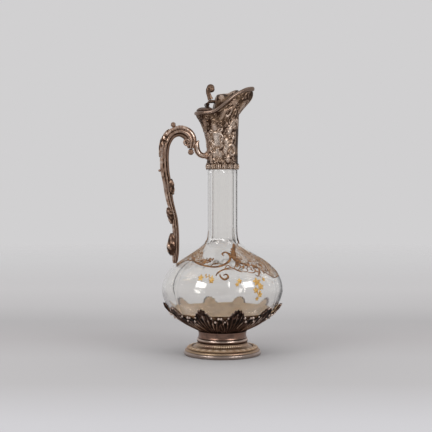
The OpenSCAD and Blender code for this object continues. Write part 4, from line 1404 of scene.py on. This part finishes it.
@dataclass
class Collar:
    """The chased collar that grows from a round neck band into the spouted mouth."""

    columns: int = 384
    rows: int = 170
    girth: float = 110
    tall: float = 62

    def strokes(self) -> list[Array]:
        """Rococo ornament of the -Y side, in x along the girth and y up, and its mirror image."""
        side = [np.array([[-36, y, 3.9, 0.95] for y in np.linspace(28, 38, 9)])]
        side += [
            scroll(-36, 33, (6.6, 6.6), (115, 250), (0.7, 0.6), 0.9),
            scroll(-36, 33, (6.6, 6.6), (-70, 65), (0.7, 0.8), 0.85),
            scroll(-41.2, 41.4, (2.6, 0.5), (-40, 330), (0.8, 0.6), 0.8),
            scroll(-30.8, 41.4, (2.6, 0.5), (220, -150), (0.8, 0.6), 0.8),
            scroll(-41, 25, (2.4, 0.5), (60, -300), (0.8, 0.6), 0.8),
            scroll(-31, 25, (2.4, 0.5), (120, 480), (0.8, 0.6), 0.8),
            scroll(-19, 18, (7.2, 1.0), (200, -230), (1.2, 0.6), 0.85),
            scroll(-15, 38, (6.2, 0.8), (250, 640), (1.1, 0.6), 0.85),
            scroll(-48, 16, (5.2, 0.7), (-10, 380), (1.0, 0.6), 0.8),
            scroll(-50, 44, (4.6, 0.7), (150, -220), (1.0, 0.6), 0.8),
            scroll(-24, 52, (4.4, 0.8), (170, -200), (1.0, 0.6), 0.8),
            scroll(-8, 52, (4.2, 0.8), (200, -160), (0.9, 0.5), 0.8),
        ]
        for spec in (
            (-36, 42.5, 90, 10, 4.2, 0.9, 0), (-36, 22.5, 270, 11, 4, 0.85, 0),
            (-28, 17, 62, 14, 4, 0.9, 26), (-23, 33, 72, 14, 4, 0.9, -30),
            (-12, 22, 84, 13, 3.4, 0.8, 22), (-44, 30, 112, 13, 3.8, 0.85, -28),
            (-47, 48, 60, 10, 3.4, 0.8, 30), (-13, 46, 60, 11, 3.6, 0.85, 26),
            (-30, 52, 40, 9, 3.2, 0.8, 26), (-52, 24, 96, 12, 3.2, 0.8, 12),
            (-24, 7, 88, 9, 3.2, 0.75, -20), (-44, 6, 92, 9, 3.2, 0.75, 20),
            (-9, 8, 92, 10, 3, 0.7, 0), (-33, 12, 70, 8, 3, 0.8, 40),
            (-39, 12, 110, 8, 3, 0.8, -40), (-18, 55, 120, 7, 3, 0.75, 20),
        ):
            side += acanthus(*spec, 5)
        side += blossom(-26, 28.5, 2.6, 0.8) + blossom(-44.5, 22, 2.3, 0.75)
        side += blossom(-17, 29, 2.1, 0.75)
        rng = np.random.default_rng(7)
        for x in np.arange(-54, -6, 2.3):
            for y in np.arange(7, 61, 2.5):
                px, py, angle = x + rng.uniform(-1, 1), y + rng.uniform(-1, 1), rng.uniform(0, 180)
                side.append(blade(px, py, angle, rng.uniform(2, 4.2), 0.5, rng.uniform(0.3, 0.62),
                                  rng.uniform(-110, 110)))
        return mirrored(side) + acanthus(0, 46, 90, 15, 5.4, 0.9)

    def skin(self) -> Skin:
        """The wall: a circle below, mixed row by row into the plan of the mouth, then chased, with
        painted shade towards the top and a painted dark reflection on the plain panel under the spout.
        """
        flare = F.collar_z + F.grip_h * 0.9
        u = np.linspace(0, 2 * np.pi, self.columns, endpoint=False)[None, :]
        low = np.linspace(0, 1, self.rows // 4, endpoint=False)
        s = np.concatenate([np.zeros(len(low)), np.linspace(0, 1, self.rows - len(low))])[:, None]
        front = np.maximum(0, np.cos(u)) ** 2
        grow = mix(s ** 2.2, 0.06 * ease(s / 0.6) + 0.94 * ease((s - 0.57) / 0.37), front)
        plan = F.rim_plan(u[0])
        size = np.linalg.norm(plan, axis=1)

        def wall(inset: float) -> Array:
            """Points of the wall drawn in by the inset."""
            edge = plan * ((size - inset) / size)[:, None]
            r = F.collar_r - inset
            z = mix(flare, F.rim_z(plan[:, 0])[None, :] - F.wire_b - 0.05, s)
            z[:len(low)] = mix(F.collar_z, flare, low)[:, None]
            return np.stack([mix(r * np.cos(u), edge[None, :, 0], grow),
                             mix(r * np.sin(u), edge[None, :, 1], grow), z], -1)

        outer, inner = wall(0.25), wall(1.0)[::-1]
        x = np.degrees(np.mod(u + np.pi, 2 * np.pi) - np.pi) * self.girth / 360
        y = np.concatenate([low * 18, np.linspace(18, self.tall, self.rows - len(low))])[:, None]
        height = relief(x, y, self.strokes(), self.girth)
        # A plain panel under the spout, edged by a low ridge; the dark colour painted on it stands for
        # a reflection of the dark room
        painted_dark_strip = ease((14.5 - np.abs(x)) / 2) * ease((40 - y) / 8)
        height = mix(height, 0.3 * hump(np.abs(x), 13.5, 1), painted_dark_strip)
        mat = value_noise(x + 60, y, 0.9, 3) * 0.07 + value_noise(x + 60, y, 2.2, 4) * 0.1
        # The last term is painted shade: the collar is darker towards its top
        wear_and_painted_light = np.clip(0.14 + 0.95 * height + 0.9 * mat - 0.2 * ease((y - 38) / 14), 0, 1)
        wear_and_painted_light = mix(wear_and_painted_light, 0.02 + 1.5 * height, painted_dark_strip)
        lit = Skin(outer).raised(height * 0.9 + mat).points
        return Skin(np.vstack([lit, inner[::6], inner[-1:]]), True,
                    np.vstack([wear_and_painted_light, np.full((len(inner[::6]) + 1, self.columns), 0.25)]))

    def border(self) -> Skin:
        """Sixteen pendant leaves, ribbed and scalloped, round the lower edge."""
        a = np.linspace(0, 360, 16 * 44, endpoint=False)[None, :]
        t = np.linspace(0, 1, 20)[:, None]
        d = off_middle(a, 16) * 16 / 180
        low = F.collar_z + F.grip_h * (0.03 - 0.05 * np.abs(np.cos(np.radians(a * 8)))
                                       + 0.022 * np.abs(np.sin(3 * np.pi * d)))
        high = F.collar_z + F.grip_h * (0.27 + 0.045 * np.cos(np.radians(a * 16)))
        leaf = np.abs(np.cos(np.pi * d / 2)) ** 0.8
        rib = 0.34 * np.cos(3 * np.pi * (d + 0.25 * (t - 0.5) * np.sign(d))) \
            + 0.16 * np.cos(2 * np.pi * (3 * t + 1.6 * np.abs(d)))
        bulge = np.sin(np.pi * np.clip(t * 0.9 + 0.05, 0, 1)) ** 0.6
        r = F.collar_r + 0.15 + (0.6 + 0.4 * leaf + rib) * bulge
        z = mix(low, high, t)
        wear_and_painted_light = np.clip(0.18 + 0.3 * leaf * bulge + 1.1 * rib, 0, 1)
        radius = np.vstack([r, np.full((2, a.size), F.collar_r + 0.12)])
        return Skin(about_axis(radius, np.radians(a), np.vstack([z, high, low])), True,
                    np.vstack([wear_and_painted_light, np.full((2, a.size), 0.1)]))

    def build(self) -> list[Piece]:
        """Wall, border and the polished rim of the mouth."""
        u = np.linspace(0, 2 * np.pi, 300, endpoint=False)
        plan = F.rim_plan(u)
        lip = ease((plan[:, :1] - 14) / 16)
        rim = moulding(np.column_stack([plan, F.rim_z(plan[:, 0])]), F.wire_a + 0.3 * lip,
                       F.wire_b + 0.5 * lip, 28).evenly(0.6)
        return [
            Piece("chased_collar", Body.JUG, Slot.CHASED, CHASED, [self.skin()], ("neck_collar",)),
            Piece("pendant_leaf_border", Body.JUG, Slot.CHASED, CHASED, [self.border()],
                  ("collar_leaf_border",)),
            Piece("polished_mouth_rim", Body.JUG, Slot.PLAIN, RIM, [rim], ("mouth_rim",)),
        ]


@dataclass
class Lid:
    """The domed lid, with its border, hinge strap and thumbpiece."""

    columns: int = 240

    @property
    def back(self) -> float:
        """Place of the lid's straight back edge."""
        return -F.hinge_x + 4.2

    @property
    def front(self) -> float:
        """Place of the lid's round front edge."""
        return F.mid_x + (F.spout_x - F.mid_x) * 0.64

    def half_width(self, x: Array, inset: float) -> Array:
        """Half width of the lid at x: inside the mouth, and round at the nose."""
        nose = 9.5
        round_end = (nose + 2.5 - inset) * np.sqrt(np.maximum(
            0, 1 - np.maximum(0, (x - self.front + nose) / (nose - inset)) ** 2))
        body = F.rim_w(x) - F.wire_a - 0.95 - inset
        return np.where(x > self.front - nose, np.minimum(body, round_end), body)

    def outline(self, inset: float) -> Array:
        """Closed plan of the lid drawn in by the inset: one side, the back, the other side."""
        t = np.linspace(0, 1, self.columns * 5 // 12, endpoint=False)
        front, back = self.front - inset, self.back + inset
        x = mix(front - 0.05, back, np.sin(np.pi / 2 * t) ** 1.4)
        w = self.half_width(x, inset)
        k = np.linspace(0, 1, self.columns // 6)
        edge = self.half_width(np.array([back]), inset)[0]
        plan = np.vstack([np.stack([x, w], -1),
                          np.stack([np.full_like(k, back), mix(edge, -edge, k)], -1),
                          np.stack([x, -w], -1)[::-1][:-1]])
        return evened(plan, self.columns, 1.3)

    def dome_z(self, x: Array, y: Array) -> Array:
        """Height of the dome: steep at the back, long and low towards the spout."""
        b = self.back
        line = smooth_path([
            (b + 2.3, 0.07), (b + 3, 0.3), (b + 3.8, 0.6), (b + 4.8, 0.86), (b + 6.2, 0.99),
            (b + 9, 0.9), (b + 13.4, 0.68), (b + 18, 0.42), (b + 22, 0.33), (b + 27, 0.24),
            (self.front, 0.1)], 8)
        across = np.clip(1 - (y / (self.half_width(x, 2.35) + 0.01)) ** 2, 0, 1)
        return F.rim_z(x) + 0.9 + F.dome_h * np.interp(x, line[:, 0], line[:, 1]) * across ** 0.7

    def shell(self) -> Skin:
        """The dome, chased with a leaf along it and scrolls at its sides."""
        edge, pole = self.outline(2.35), np.array([self.back + 7.4, 0])
        t = np.sin(np.pi / 2 * np.linspace(0.02, 1, 70))[:, None, None]
        p = pole + (edge[None] - pole) * t
        x, y = p[..., 0], p[..., 1]
        strokes = mirrored(
            acanthus(2, 3.6, 24, 13, 4, 0.6, -14) + acanthus(-3, 5, 70, 8, 3.6, 0.6, 20)
            + acanthus(-7, 3, 120, 7, 3.2, 0.55, -20)
            + [scroll(-2, 8.4, (3, 0.5), (200, -160), (0.7, 0.5), 0.55),
               scroll(7, 7.4, (2.6, 0.5), (160, -200), (0.6, 0.45), 0.5)], 1)
        strokes += acanthus(-6, 0, 0, 22, 5, 0.75, 0, 6)
        h = relief(x, y, strokes) * ease((1 - t[..., 0]) / 0.12)
        top = np.stack([x, y, self.dome_z(x, y) + h], -1)
        q = pole + (edge[None] - pole) * t * 0.92
        under = np.stack([q[..., 0], q[..., 1], self.dome_z(x, y) - 1.1], -1)[::-1][::5]
        wear_and_painted_light = np.clip(0.1 + 1.2 * h, 0, 1)
        return Skin(np.vstack([top, under]), False,
                    np.vstack([wear_and_painted_light, np.full(under.shape[:2], 0.3)]))

    def wire(self) -> Skin:
        """The rounded border of the lid."""
        plan = self.outline(0.85)
        line = np.column_stack([plan, F.rim_z(plan[:, 0]) + 0.6])
        return moulding(line, 0.8, 1.1, 18).evenly(0.6)

    def bezel(self) -> Skin:
        """The flange that drops inside the mouth."""
        outer, inner = self.outline(2.2), self.outline(3.1)
        row = lambda e, up: np.column_stack([e, F.rim_z(e[:, 0]) + up])
        return Skin(np.stack([row(outer, -2.95), row(outer, -0.55), row(inner, -0.55),
                              row(inner, -2.95)]), True)

    def thumbpiece(self) -> list[Skin]:
        """A fluted stem that ends in a rolled scroll with a small ball."""
        x, z = -F.hinge_x + 3, F.axis_z + 5.4
        stem = swept(smooth_path([
            (x + 0.9, z, 3, 2.1), (x - 0.3, z + 3.2, 2.4, 2), (x - 1.5, z + 7.4, 2.3, 2.2),
            (x - 1.2, z + 10.8, 2.5, 2.6), (x + 0.4, z + 13.4, 1.9, 2.2)], 12), 48, 0.85,
            lambda t, a: 0.1 * np.cos(6 * a) * np.sin(np.pi * t) - 0.1 * hump(t, 0.3, 0.06))
        stem.wear_and_painted_light = stem.wear_and_painted_light * 0.6
        groove = lambda lat, lon: 1 - 0.11 * np.exp(-((lat + 0.28) / 0.12) ** 2) \
            + 0.03 * np.cos(8 * lon) * np.cos(lat)
        head = ball(x + 1, 0, z + 12.2, 4, 64, groove)
        a = np.linspace(0, 2 * np.pi, 48, endpoint=False)[None, :]
        y = np.linspace(-4.7, 4.7, 40)[:, None]
        r = 2.7 * (1 - 0.25 * (np.abs(y) / 4.7) ** 6) + 0.16 * np.cos(5 * y)
        roll = Skin(np.stack([x + 2 + r * np.cos(a), y + 0 * a, z + 10.4 + r * np.sin(a)], -1))
        return [stem, head.evenly(0.24), roll.evenly(0.24)]

    def knuckle(self) -> list[Skin]:
        """The middle barrel of the hinge and the strap that arches to the dome."""
        a = np.linspace(0, 2 * np.pi, 48, endpoint=False)[None, :]
        y = np.array([-2.0, -1.9, 1.9, 2.0, 2.0, -2.0])[:, None]
        r = np.array([1.85, 2, 2, 1.85, 0.95, 0.95])[:, None]
        barrel = Skin(np.stack([-F.hinge_x + r * np.cos(a), y + 0 * a, F.axis_z + r * np.sin(a)], -1),
                      True)
        strap = swept(smooth_path([
            (-F.hinge_x + 0.9, F.axis_z + 1.6, 0.7, 1.7),
            (-F.hinge_x + 2, F.axis_z + 2.6, 1.4, 1.9), (-F.hinge_x + 4.1, F.axis_z + 3.4, 1.8, 2),
            (-F.hinge_x + 5.8, F.axis_z + 3.4, 1.8, 2),
            (self.back + 4.2, F.axis_z + 3.5, 1.5, 1.9)], 10), 32, 0.8)
        return [barrel, strap]

    def build(self) -> list[Piece]:
        """All pieces that turn with the lid."""
        made = lambda name, skins, node, finish, slot, sharp=0: Piece(
            name, Body.LID, slot, finish, skins, (node,), sharp)
        return [
            made("leafy_lid_dome", [self.shell()], "lid_shell", CHASED, Slot.CHASED),
            made("lid_edge_wire", [self.wire()], "lid_border", RIM, Slot.PLAIN),
            made("lid_flange", [self.bezel()], "lid_bezel", RIM, Slot.PLAIN, 40),
            made("lid_hinge_strap", self.knuckle(), "lid_knuckle", RIM, Slot.PLAIN, 40),
            made("scroll_thumbpiece", self.thumbpiece(), "thumbpiece", HANDLE, Slot.CHASED),
        ]


@dataclass
class Deck:
    """The plate behind the lid that closes the mouth."""

    columns: int = 200

    def skin(self) -> Skin:
        """A dished sheet from the plate under the hinge up to the rim, chased with a shell."""
        front = -F.hinge_x + 3.7
        cross = math.acos((front - F.mid_x) / (F.back_x + F.mid_x))
        pole = np.array([-F.hinge_x - 1.5, 0])
        u = np.linspace(cross, 2 * np.pi - cross, self.columns * 4 // 5)
        q = F.rim_plan(u)
        s = np.linalg.norm(q - pole, axis=1, keepdims=True)
        w = F.rim_w(np.array([front]))[0] - 0.7
        k = np.linspace(0, 1, self.columns // 5 + 2)[1:-1]
        edge = np.vstack([pole + (q - pole) * (s - 0.7) / s,
                          np.stack([np.full_like(k, front), mix(-w, w, k)], -1)])
        t = np.linspace(0.03, 1, 44)[:, None]
        seat = F.rim_z(edge[:, 0])[None, :] + F.wire_b + 0.05
        z = mix(F.deck_top - 1, seat, t ** 4)
        p = pole + (edge[None] - pole) * t[..., None]
        strokes = [blade(-F.hinge_x - 4, 0, 180 + d, 8 - abs(d) * 0.03, 1.1, 0.5)
                   for d in range(-75, 76, 25)]
        h = relief(p[..., 0], p[..., 1], strokes)
        top = np.concatenate([p, (z + 1 + h)[..., None]], -1)
        r = pole + (edge[None] - pole) * t[..., None] * 0.94
        under = np.concatenate([r, z[..., None]], -1)[::-1][::6]
        return Skin(np.vstack([top, under]), False,
                    np.vstack([np.clip(0.4 + 0.9 * h, 0, 1), np.full(under.shape[:2], 0.3)]))

    def build(self) -> list[Piece]:
        """The deck as one piece; the plate, pin and caps keep their solids."""
        return [Piece("dished_rear_deck", Body.JUG, Slot.PLAIN, RIM, [self.skin()],
                      ("rear_deck",))]


@dataclass
class Handle:
    """The scroll handle: fluted strap, volute, bracket, beads and applied leaves."""

    steps: int = 14
    around: int = 112
    eye_x: float = -37.6
    eye_z: float = 224.4

    def row(self, fx: float, fz: float, w: float, d: float = 1) -> tuple:
        """A row of the path from shares of the reach and the length, and half sizes."""
        volute = F.collar_r + 17.07
        reach = lambda f: -mix(volute, F.handle_reach, (f - 0.545) / 0.455)
        curve = F.bowl_curve(2)[12:][::-1]
        tip = np.interp(-reach(0.82), curve[:, 0], curve[:, 1]) + 1.8
        return (reach(fx), mix(tip, F.bracket_z, fz), w, F.handle_depth * d)

    def path(self, steps: int) -> Array:
        """The handle's middle line with its half sizes, from the volute down to the bowl."""
        rows = [(0.551, 1.06, 2.8, 0.7), (0.545, 1.105, 5.4), (0.553, 1.15, 6.4),
                (0.607, 1.195, 6.5), (0.708, 1.22, 6.1), (0.8, 1.214, 5.5), (0.883, 1.186, 5.2),
                (0.943, 1.138, 4.9), (0.982, 1.078, 4.8), (0.996, 0.98, 4.7), (0.988, 0.862, 4.7),
                (0.958, 0.765, 4.4), (0.924, 0.635, 4.1), (0.896, 0.56, 3.7), (0.856, 0.48, 3.4),
                (0.822, 0.4, 3.4), (0.802, 0.27, 3.4), (0.802, 0.12, 3.4), (0.814, 0.04, 3.1, 0.9),
                (0.82, 0, 2, 0.6)]
        return smooth_path([self.row(*r) for r in rows], steps)

    def strap(self) -> Skin:
        """The fluted strap: two grooves on each side face between raised edges, with painted shade on
        its inner face.
        """
        def carve(t: Array, a: Array) -> Array:
            """Grooves across the side faces, and a fine ripple along the outer back."""
            c, side = np.cos(a), np.abs(np.sin(a))
            groove = hump(c, -0.36, 0.26) + 0.85 * hump(c, 0.24, 0.24)
            scale = 0.34 * hump(np.mod(t * 46, 1), 0.5, 0.5) * hump(c, 1, 0.5) * hump(t, 0.42, 0.24)
            return -0.75 * groove * side ** 2 + scale
        skin = swept(self.path(self.steps), self.around, 0.82, carve)
        t = np.linspace(0, 240, len(skin.points))[:, None]
        a = np.linspace(0, 2 * np.pi, self.around, endpoint=False)[None, :]
        patches = value_noise(t, 5 * np.abs(np.sin(a)) + 8 * np.cos(a), 2.2, 21)
        # The last term is painted shade, darkening the inner face that looks towards the jug
        skin.wear_and_painted_light = np.clip(skin.wear_and_painted_light + 0.02 + 0.3 * patches * ease(np.cos(a) + 0.6)
                            - 0.24 * ease((-np.cos(a) - 0.3) / 0.5), 0, 1)
        return skin

    def volute(self) -> list[Skin]:
        """The rolled end of the strap: a spiral ribbon about an eye, with its ring."""
        t = np.linspace(0, 1, 90)
        a = np.radians(mix(20, -470, t))
        r = mix(4.3, 1.3, t)
        x, z = self.eye_x, self.eye_z
        spiral = np.stack([x + r * np.cos(a), z + r * np.sin(a), mix(1.1, 0.6, t),
                           np.full_like(t, 3.5)], -1)
        eye = ball(x, 0, z, 1.1, 32)
        eye.points = (eye.points - [x, 0, z]) * [1, 3.9, 1] + [x, 0, z]
        return [swept(spiral, 40, 0.6).evenly(0.55), eye.evenly(0.8)]

    def leaf(self, start: float, stop: float, thick: float, side: int, lobes: int) -> Skin:
        """A leaf wrapped on the outer or inner face of the strap.

        Args:
            start: first row of the solid's path that it covers.
            stop: last row.
            thick: how far it stands off at its middle.
            side: 1 for the outer face, -1 for the inner one.
            lobes: scallops along each margin.

        Returns:
            The leaf: its top across the strap, then its underside back.
        """
        path = self.path(self.steps)
        index = np.arange(len(path)) * 2 / self.steps
        keep = (index >= start) & (index <= stop)
        rows, (_, out) = path[keep], path_frame(path)
        out = out[keep]
        s = (index[keep, None] - start) / (stop - start)
        grow = np.sin(np.pi * np.clip((s * (stop - start) + 0.35) / (stop - start + 0.7), 0, 1))
        scallop = np.abs(np.sin(np.pi * lobes * s))
        half = np.radians(80 * (0.35 + 0.65 * grow) * (0.82 + 0.18 * scallop))
        k = np.linspace(-1, 1, 41)[None, :]
        curls = value_noise(s * 30 * (stop - start) / 4, k * 6 + start, 3, 31)
        ang = half * k
        ribs = 0.34 * np.cos(2 * np.pi * (lobes * s - 1.4 * np.abs(k))) * (1 - k ** 2) \
            + 0.4 * np.exp(-(k / 0.12) ** 2)
        e = 0.5 + (0.3 + thick * grow) * np.cos(np.radians(85) * k) \
            * (0.82 + 0.18 * scallop) + ribs * 0.55 * min(1, thick / 1.5) * grow \
            + 0.22 * min(thick, 3) * curls * grow * (1 - k ** 2)
        w, d = rows[:, 2, None], rows[:, 3, None]

        def place(across: Array, deep: Array) -> Array:
            """Points at a distance off the middle line, in the plane and across it."""
            return np.stack([rows[:, 0, None] + out[:, 0, None] * side * across, deep,
                             rows[:, 1, None] + out[:, 1, None] * side * across], -1)

        top = place((w + e) * np.cos(ang), (d + e) * np.sin(ang))
        under = place((w + 0.05) * np.cos(ang), (d + 0.05) * np.sin(ang))[:, ::-1]
        wear_and_painted_light = np.clip(0.3 - 0.06 * thick + 1.3 * ribs + 0.5 * curls, 0, 1)
        return Skin(np.concatenate([top, under], 1), False,
                    np.concatenate([wear_and_painted_light, np.full(wear_and_painted_light.shape, 0.1)], 1))

    def bracket(self) -> Skin:
        """The C-scroll that joins the collar to the volute, with a raised spine."""
        c, z = -F.collar_r, F.bracket_z
        return swept(smooth_path([
            (c - 1.5, z - 0.5, 3.1, 3.2), (c - 4.4, z - 0.5, 2.8, 2.9), (c - 7.6, z + 1, 2.8, 2.7),
            (c - 10, z + 4.4, 2.9, 2.6), (c - 10.9, z + 8.6, 2.8, 2.6), (c - 10.7, z + 12.2, 2.4, 2.2),
            (c - 8.6, z + 15.2, 0.7, 1)], 12), 48, 0.85,
            lambda t, a: 0.32 * np.cos(4 * a) * np.sin(np.pi * t))

    def bead(self, index: int, r: float, x: Optional[float] = None, z: float = 0,
             lobes: int = 0) -> Skin:
        """A bead off the outer face at a row of the solid's path, or at a place of its own."""
        path = self.path(2)
        if x is None:
            _, out = path_frame(path)
            off = path[index, 2] + r - 0.3
            x, z = path[index, :2] + out[index] * off
        shape = (lambda lat, lon: 1 - 0.2 * np.abs(np.sin(lobes * lon / 2)) * np.cos(lat)
                 - 0.16 * np.exp(-((lat - 0.15) / 0.14) ** 2)) if lobes else None
        return ball(x, 0, z, r, 56, shape).evenly(0.38)

    def build(self) -> list[Piece]:
        """All pieces of the handle."""
        start = self.path(2)[0]
        rose = Skin(np.stack([
            np.stack([np.full(64, x), r * np.cos(b), F.bracket_z - 0.2 + r * np.sin(b)], -1)
            for b in [np.linspace(0, 2 * np.pi, 64, endpoint=False)]
            for x, r in ((-F.collar_r + 1.6, 4.2), (-F.collar_r - 1.0, 4.2),
                         (-F.collar_r - 1.5, 3.9), (-F.collar_r - 1.8, 3.2))]))
        made = lambda name, skins, *nodes: Piece(name, Body.JUG, Slot.CHASED, HANDLE, skins, nodes)
        return [
            made("fluted_scroll_strap", [self.strap()] + self.volute(), "handle_scroll"),
            made("bracket_scroll", [self.bracket()], "handle_bracket"),
            made("bracket_rose", [rose], "handle_socket"),
            made("volute_bud", [self.bead(0, 3.3, start[0] + 0.4, start[1] - 3.5, 7)],
                 "handle_bud"),
            made("crest_bead", [self.bead(10, 2.7, lobes=6)], "handle_crest_bead"),
            made("back_bead", [self.bead(20, 1.3)], "handle_back_bead"),
            made("upper_acanthus", [self.leaf(11.4, 18, 1.2, 1, 5)], "handle_upper_acanthus"),
            made("inner_leaf_tip", [self.leaf(21.8, 24.2, 2.2, -1, 2)], "handle_inner_leaf"),
            made("lower_acanthus", [self.leaf(26.8, 30.6, 3.0, 1, 3)], "handle_lower_acanthus"),
            made("foliate_foot_boss", [self.leaf(31.8, 35.2, 5.6, 1, 3)], "handle_foot_boss"),
        ]


@dataclass
class Studio:
    """Pale floor and backdrop, two soft lamps, and the camera at the photograph's angle."""

    yaw_deg: float = 8
    pitch_deg: float = 1.97
    distance: float = 1150
    height: float = 186
    fov_deg: float = 22.43
    aside: float = -6.76
    backdrop: str = "#D1D0D1"
    fill: float = 0.87
    room: tuple[float, float] = (0.3, 0.95)
    lamp_deg: float = 44
    lamp_far: float = 1.16
    lamp_up: float = 0.7
    lamp_size: tuple[float, float] = (0.6, 0.34)
    watts: float = 4.4
    bowl_z: float = 0.12
    floor_r: float = 3.2
    floor_z: float = -0.00005

    def axes(self) -> tuple[Array, Array]:
        """The camera's level forward and right directions."""
        a = math.radians(self.yaw_deg)
        return np.array([math.sin(a), math.cos(a), 0]), np.array([math.cos(a), -math.sin(a), 0])

    def camera(self) -> None:
        """A camera a little above the shoulder of the jug, tipped slightly down."""
        ahead, right = self.axes()
        place = -ahead * self.distance + right * self.aside + np.array([0, 0, self.height])
        tip = math.radians(self.pitch_deg)
        look = ahead * math.cos(tip) - np.array([0, 0, math.sin(tip)])
        data = bpy.data.cameras.new("camera")
        data.sensor_fit = "HORIZONTAL"
        data.angle = math.radians(self.fov_deg)
        data.clip_end = 50
        eye = placed("camera", data)
        eye.location = Vector(place * MM)
        eye.rotation_mode = "QUATERNION"
        eye.rotation_quaternion = Vector(look).to_track_quat("-Z", "Y")
        bpy.context.scene.camera = eye

    def lamp(self, name: str, side_deg: float) -> None:
        """A soft rectangular lamp aimed at the bowl.

        Args:
            name: name of the lamp.
            side_deg: its angle from the camera, seen from above.
        """
        a = math.radians(self.yaw_deg + side_deg)
        place = Vector((-math.sin(a) * self.lamp_far, -math.cos(a) * self.lamp_far, self.lamp_up))
        data = bpy.data.lights.new(name, "AREA")
        data.shape = "RECTANGLE"
        data.size, data.size_y = self.lamp_size
        data.energy = self.watts
        obj = placed(name, data)
        obj.location = place
        obj.rotation_mode = "QUATERNION"
        obj.rotation_quaternion = (Vector((0, 0, self.bowl_z)) - place).to_track_quat("-Z", "Y")

    def world(self) -> None:
        """Backdrop grey to the camera and through glass; a dim room in front for the metal."""
        world = bpy.data.worlds.new("studio")
        world.use_nodes = True
        tree = world.node_tree
        tree.nodes.clear()
        ahead, _ = self.axes()
        ray = add_node(tree, "ShaderNodeLightPath")
        way = add_node(tree, "ShaderNodeTexCoord").outputs["Generated"]
        toward = add_node(tree, "ShaderNodeVectorMath", {"operation": "DOT_PRODUCT"},
                          {0: way, 1: Vector(ahead)}).outputs["Value"]
        room = add_node(tree, "ShaderNodeMapRange", inputs={
            "Value": toward, "From Min": -0.75, "From Max": 0.55, "To Min": self.room[0],
            "To Max": self.room[1]}).outputs["Result"]
        above = add_node(tree, "ShaderNodeVectorMath", {"operation": "DOT_PRODUCT"},
                         {0: way, 1: Vector((0, 0, 1))}).outputs["Value"]
        ceiling = add_node(tree, "ShaderNodeMapRange", inputs={
            "Value": above, "From Min": 0.1, "From Max": 0.8, "To Min": 0.0,
            "To Max": 1.0}).outputs["Result"]
        room = add_node(tree, "ShaderNodeMath", {"operation": "MAXIMUM"},
                        {0: room, 1: ceiling}).outputs[0]
        seen = add_node(tree, "ShaderNodeMath", {"operation": "MAXIMUM"}, {
            0: ray.outputs["Is Camera Ray"], 1: ray.outputs["Is Transmission Ray"]}).outputs[0]
        shiny = add_node(tree, "ShaderNodeBackground", inputs={
            "Color": linear(self.backdrop), "Strength": room}).outputs[0]
        fill = add_node(tree, "ShaderNodeBackground", inputs={
            "Color": (1, 1, 1, 1), "Strength": self.fill}).outputs[0]
        shown = add_node(tree, "ShaderNodeBackground", inputs={
            "Color": linear(self.backdrop), "Strength": 1.0}).outputs[0]
        first = add_node(tree, "ShaderNodeMixShader", inputs={
            0: ray.outputs["Is Glossy Ray"], 1: fill, 2: shiny}).outputs[0]
        both = add_node(tree, "ShaderNodeMixShader", inputs={0: seen, 1: first, 2: shown}).outputs[0]
        add_node(tree, "ShaderNodeOutputWorld", inputs={"Surface": both})
        bpy.context.scene.world = world

    def floor(self) -> None:
        """A wide disc of matt paper, with a painted shade just behind the jug, that fades into the
        backdrop.
        """
        a = np.linspace(0, 2 * np.pi, 96, endpoint=False)
        mesh = bpy.data.meshes.new("paper_floor")
        mesh.from_pydata(about_axis(self.floor_r, a, self.floor_z).tolist(), [], [list(range(96))])
        mesh.materials.append(MattPaper(tuple(self.axes()[0])).material())
        placed("paper_floor", mesh)

    def build(self) -> None:
        """Sets the stage."""
        bpy.context.scene.view_settings.view_transform = "Standard"
        self.camera()
        self.world()
        self.floor()
        self.lamp("left_soft_lamp", self.lamp_deg)
        self.lamp("right_soft_lamp", -self.lamp_deg)


def dress_solids() -> None:
    """Gives the solids that stay visible, or sit inside the mounts, their finishes."""
    finishes = {"hinge_plate": RIM, "hinge_pin": RIM, "pin_caps": RIM,
                "base_cement": PLASTER, "neck_cement": PLASTER}
    for node, finish in finishes.items():
        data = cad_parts[node].data
        data.materials.clear()
        data.materials.append(finish.material())


def main() -> None:
    """Builds every sub-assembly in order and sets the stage."""
    logging.basicConfig(level=logging.INFO, format="%(message)s")
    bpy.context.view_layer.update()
    glass = Crystal()
    for part in (Foot(), Calyx(), glass, Gilding(glass), Collar(), Deck(), Lid(), Handle()):
        for piece in part.build():
            piece.make()
    dress_solids()
    Studio().build()


if __name__ == "__main__":
    main()
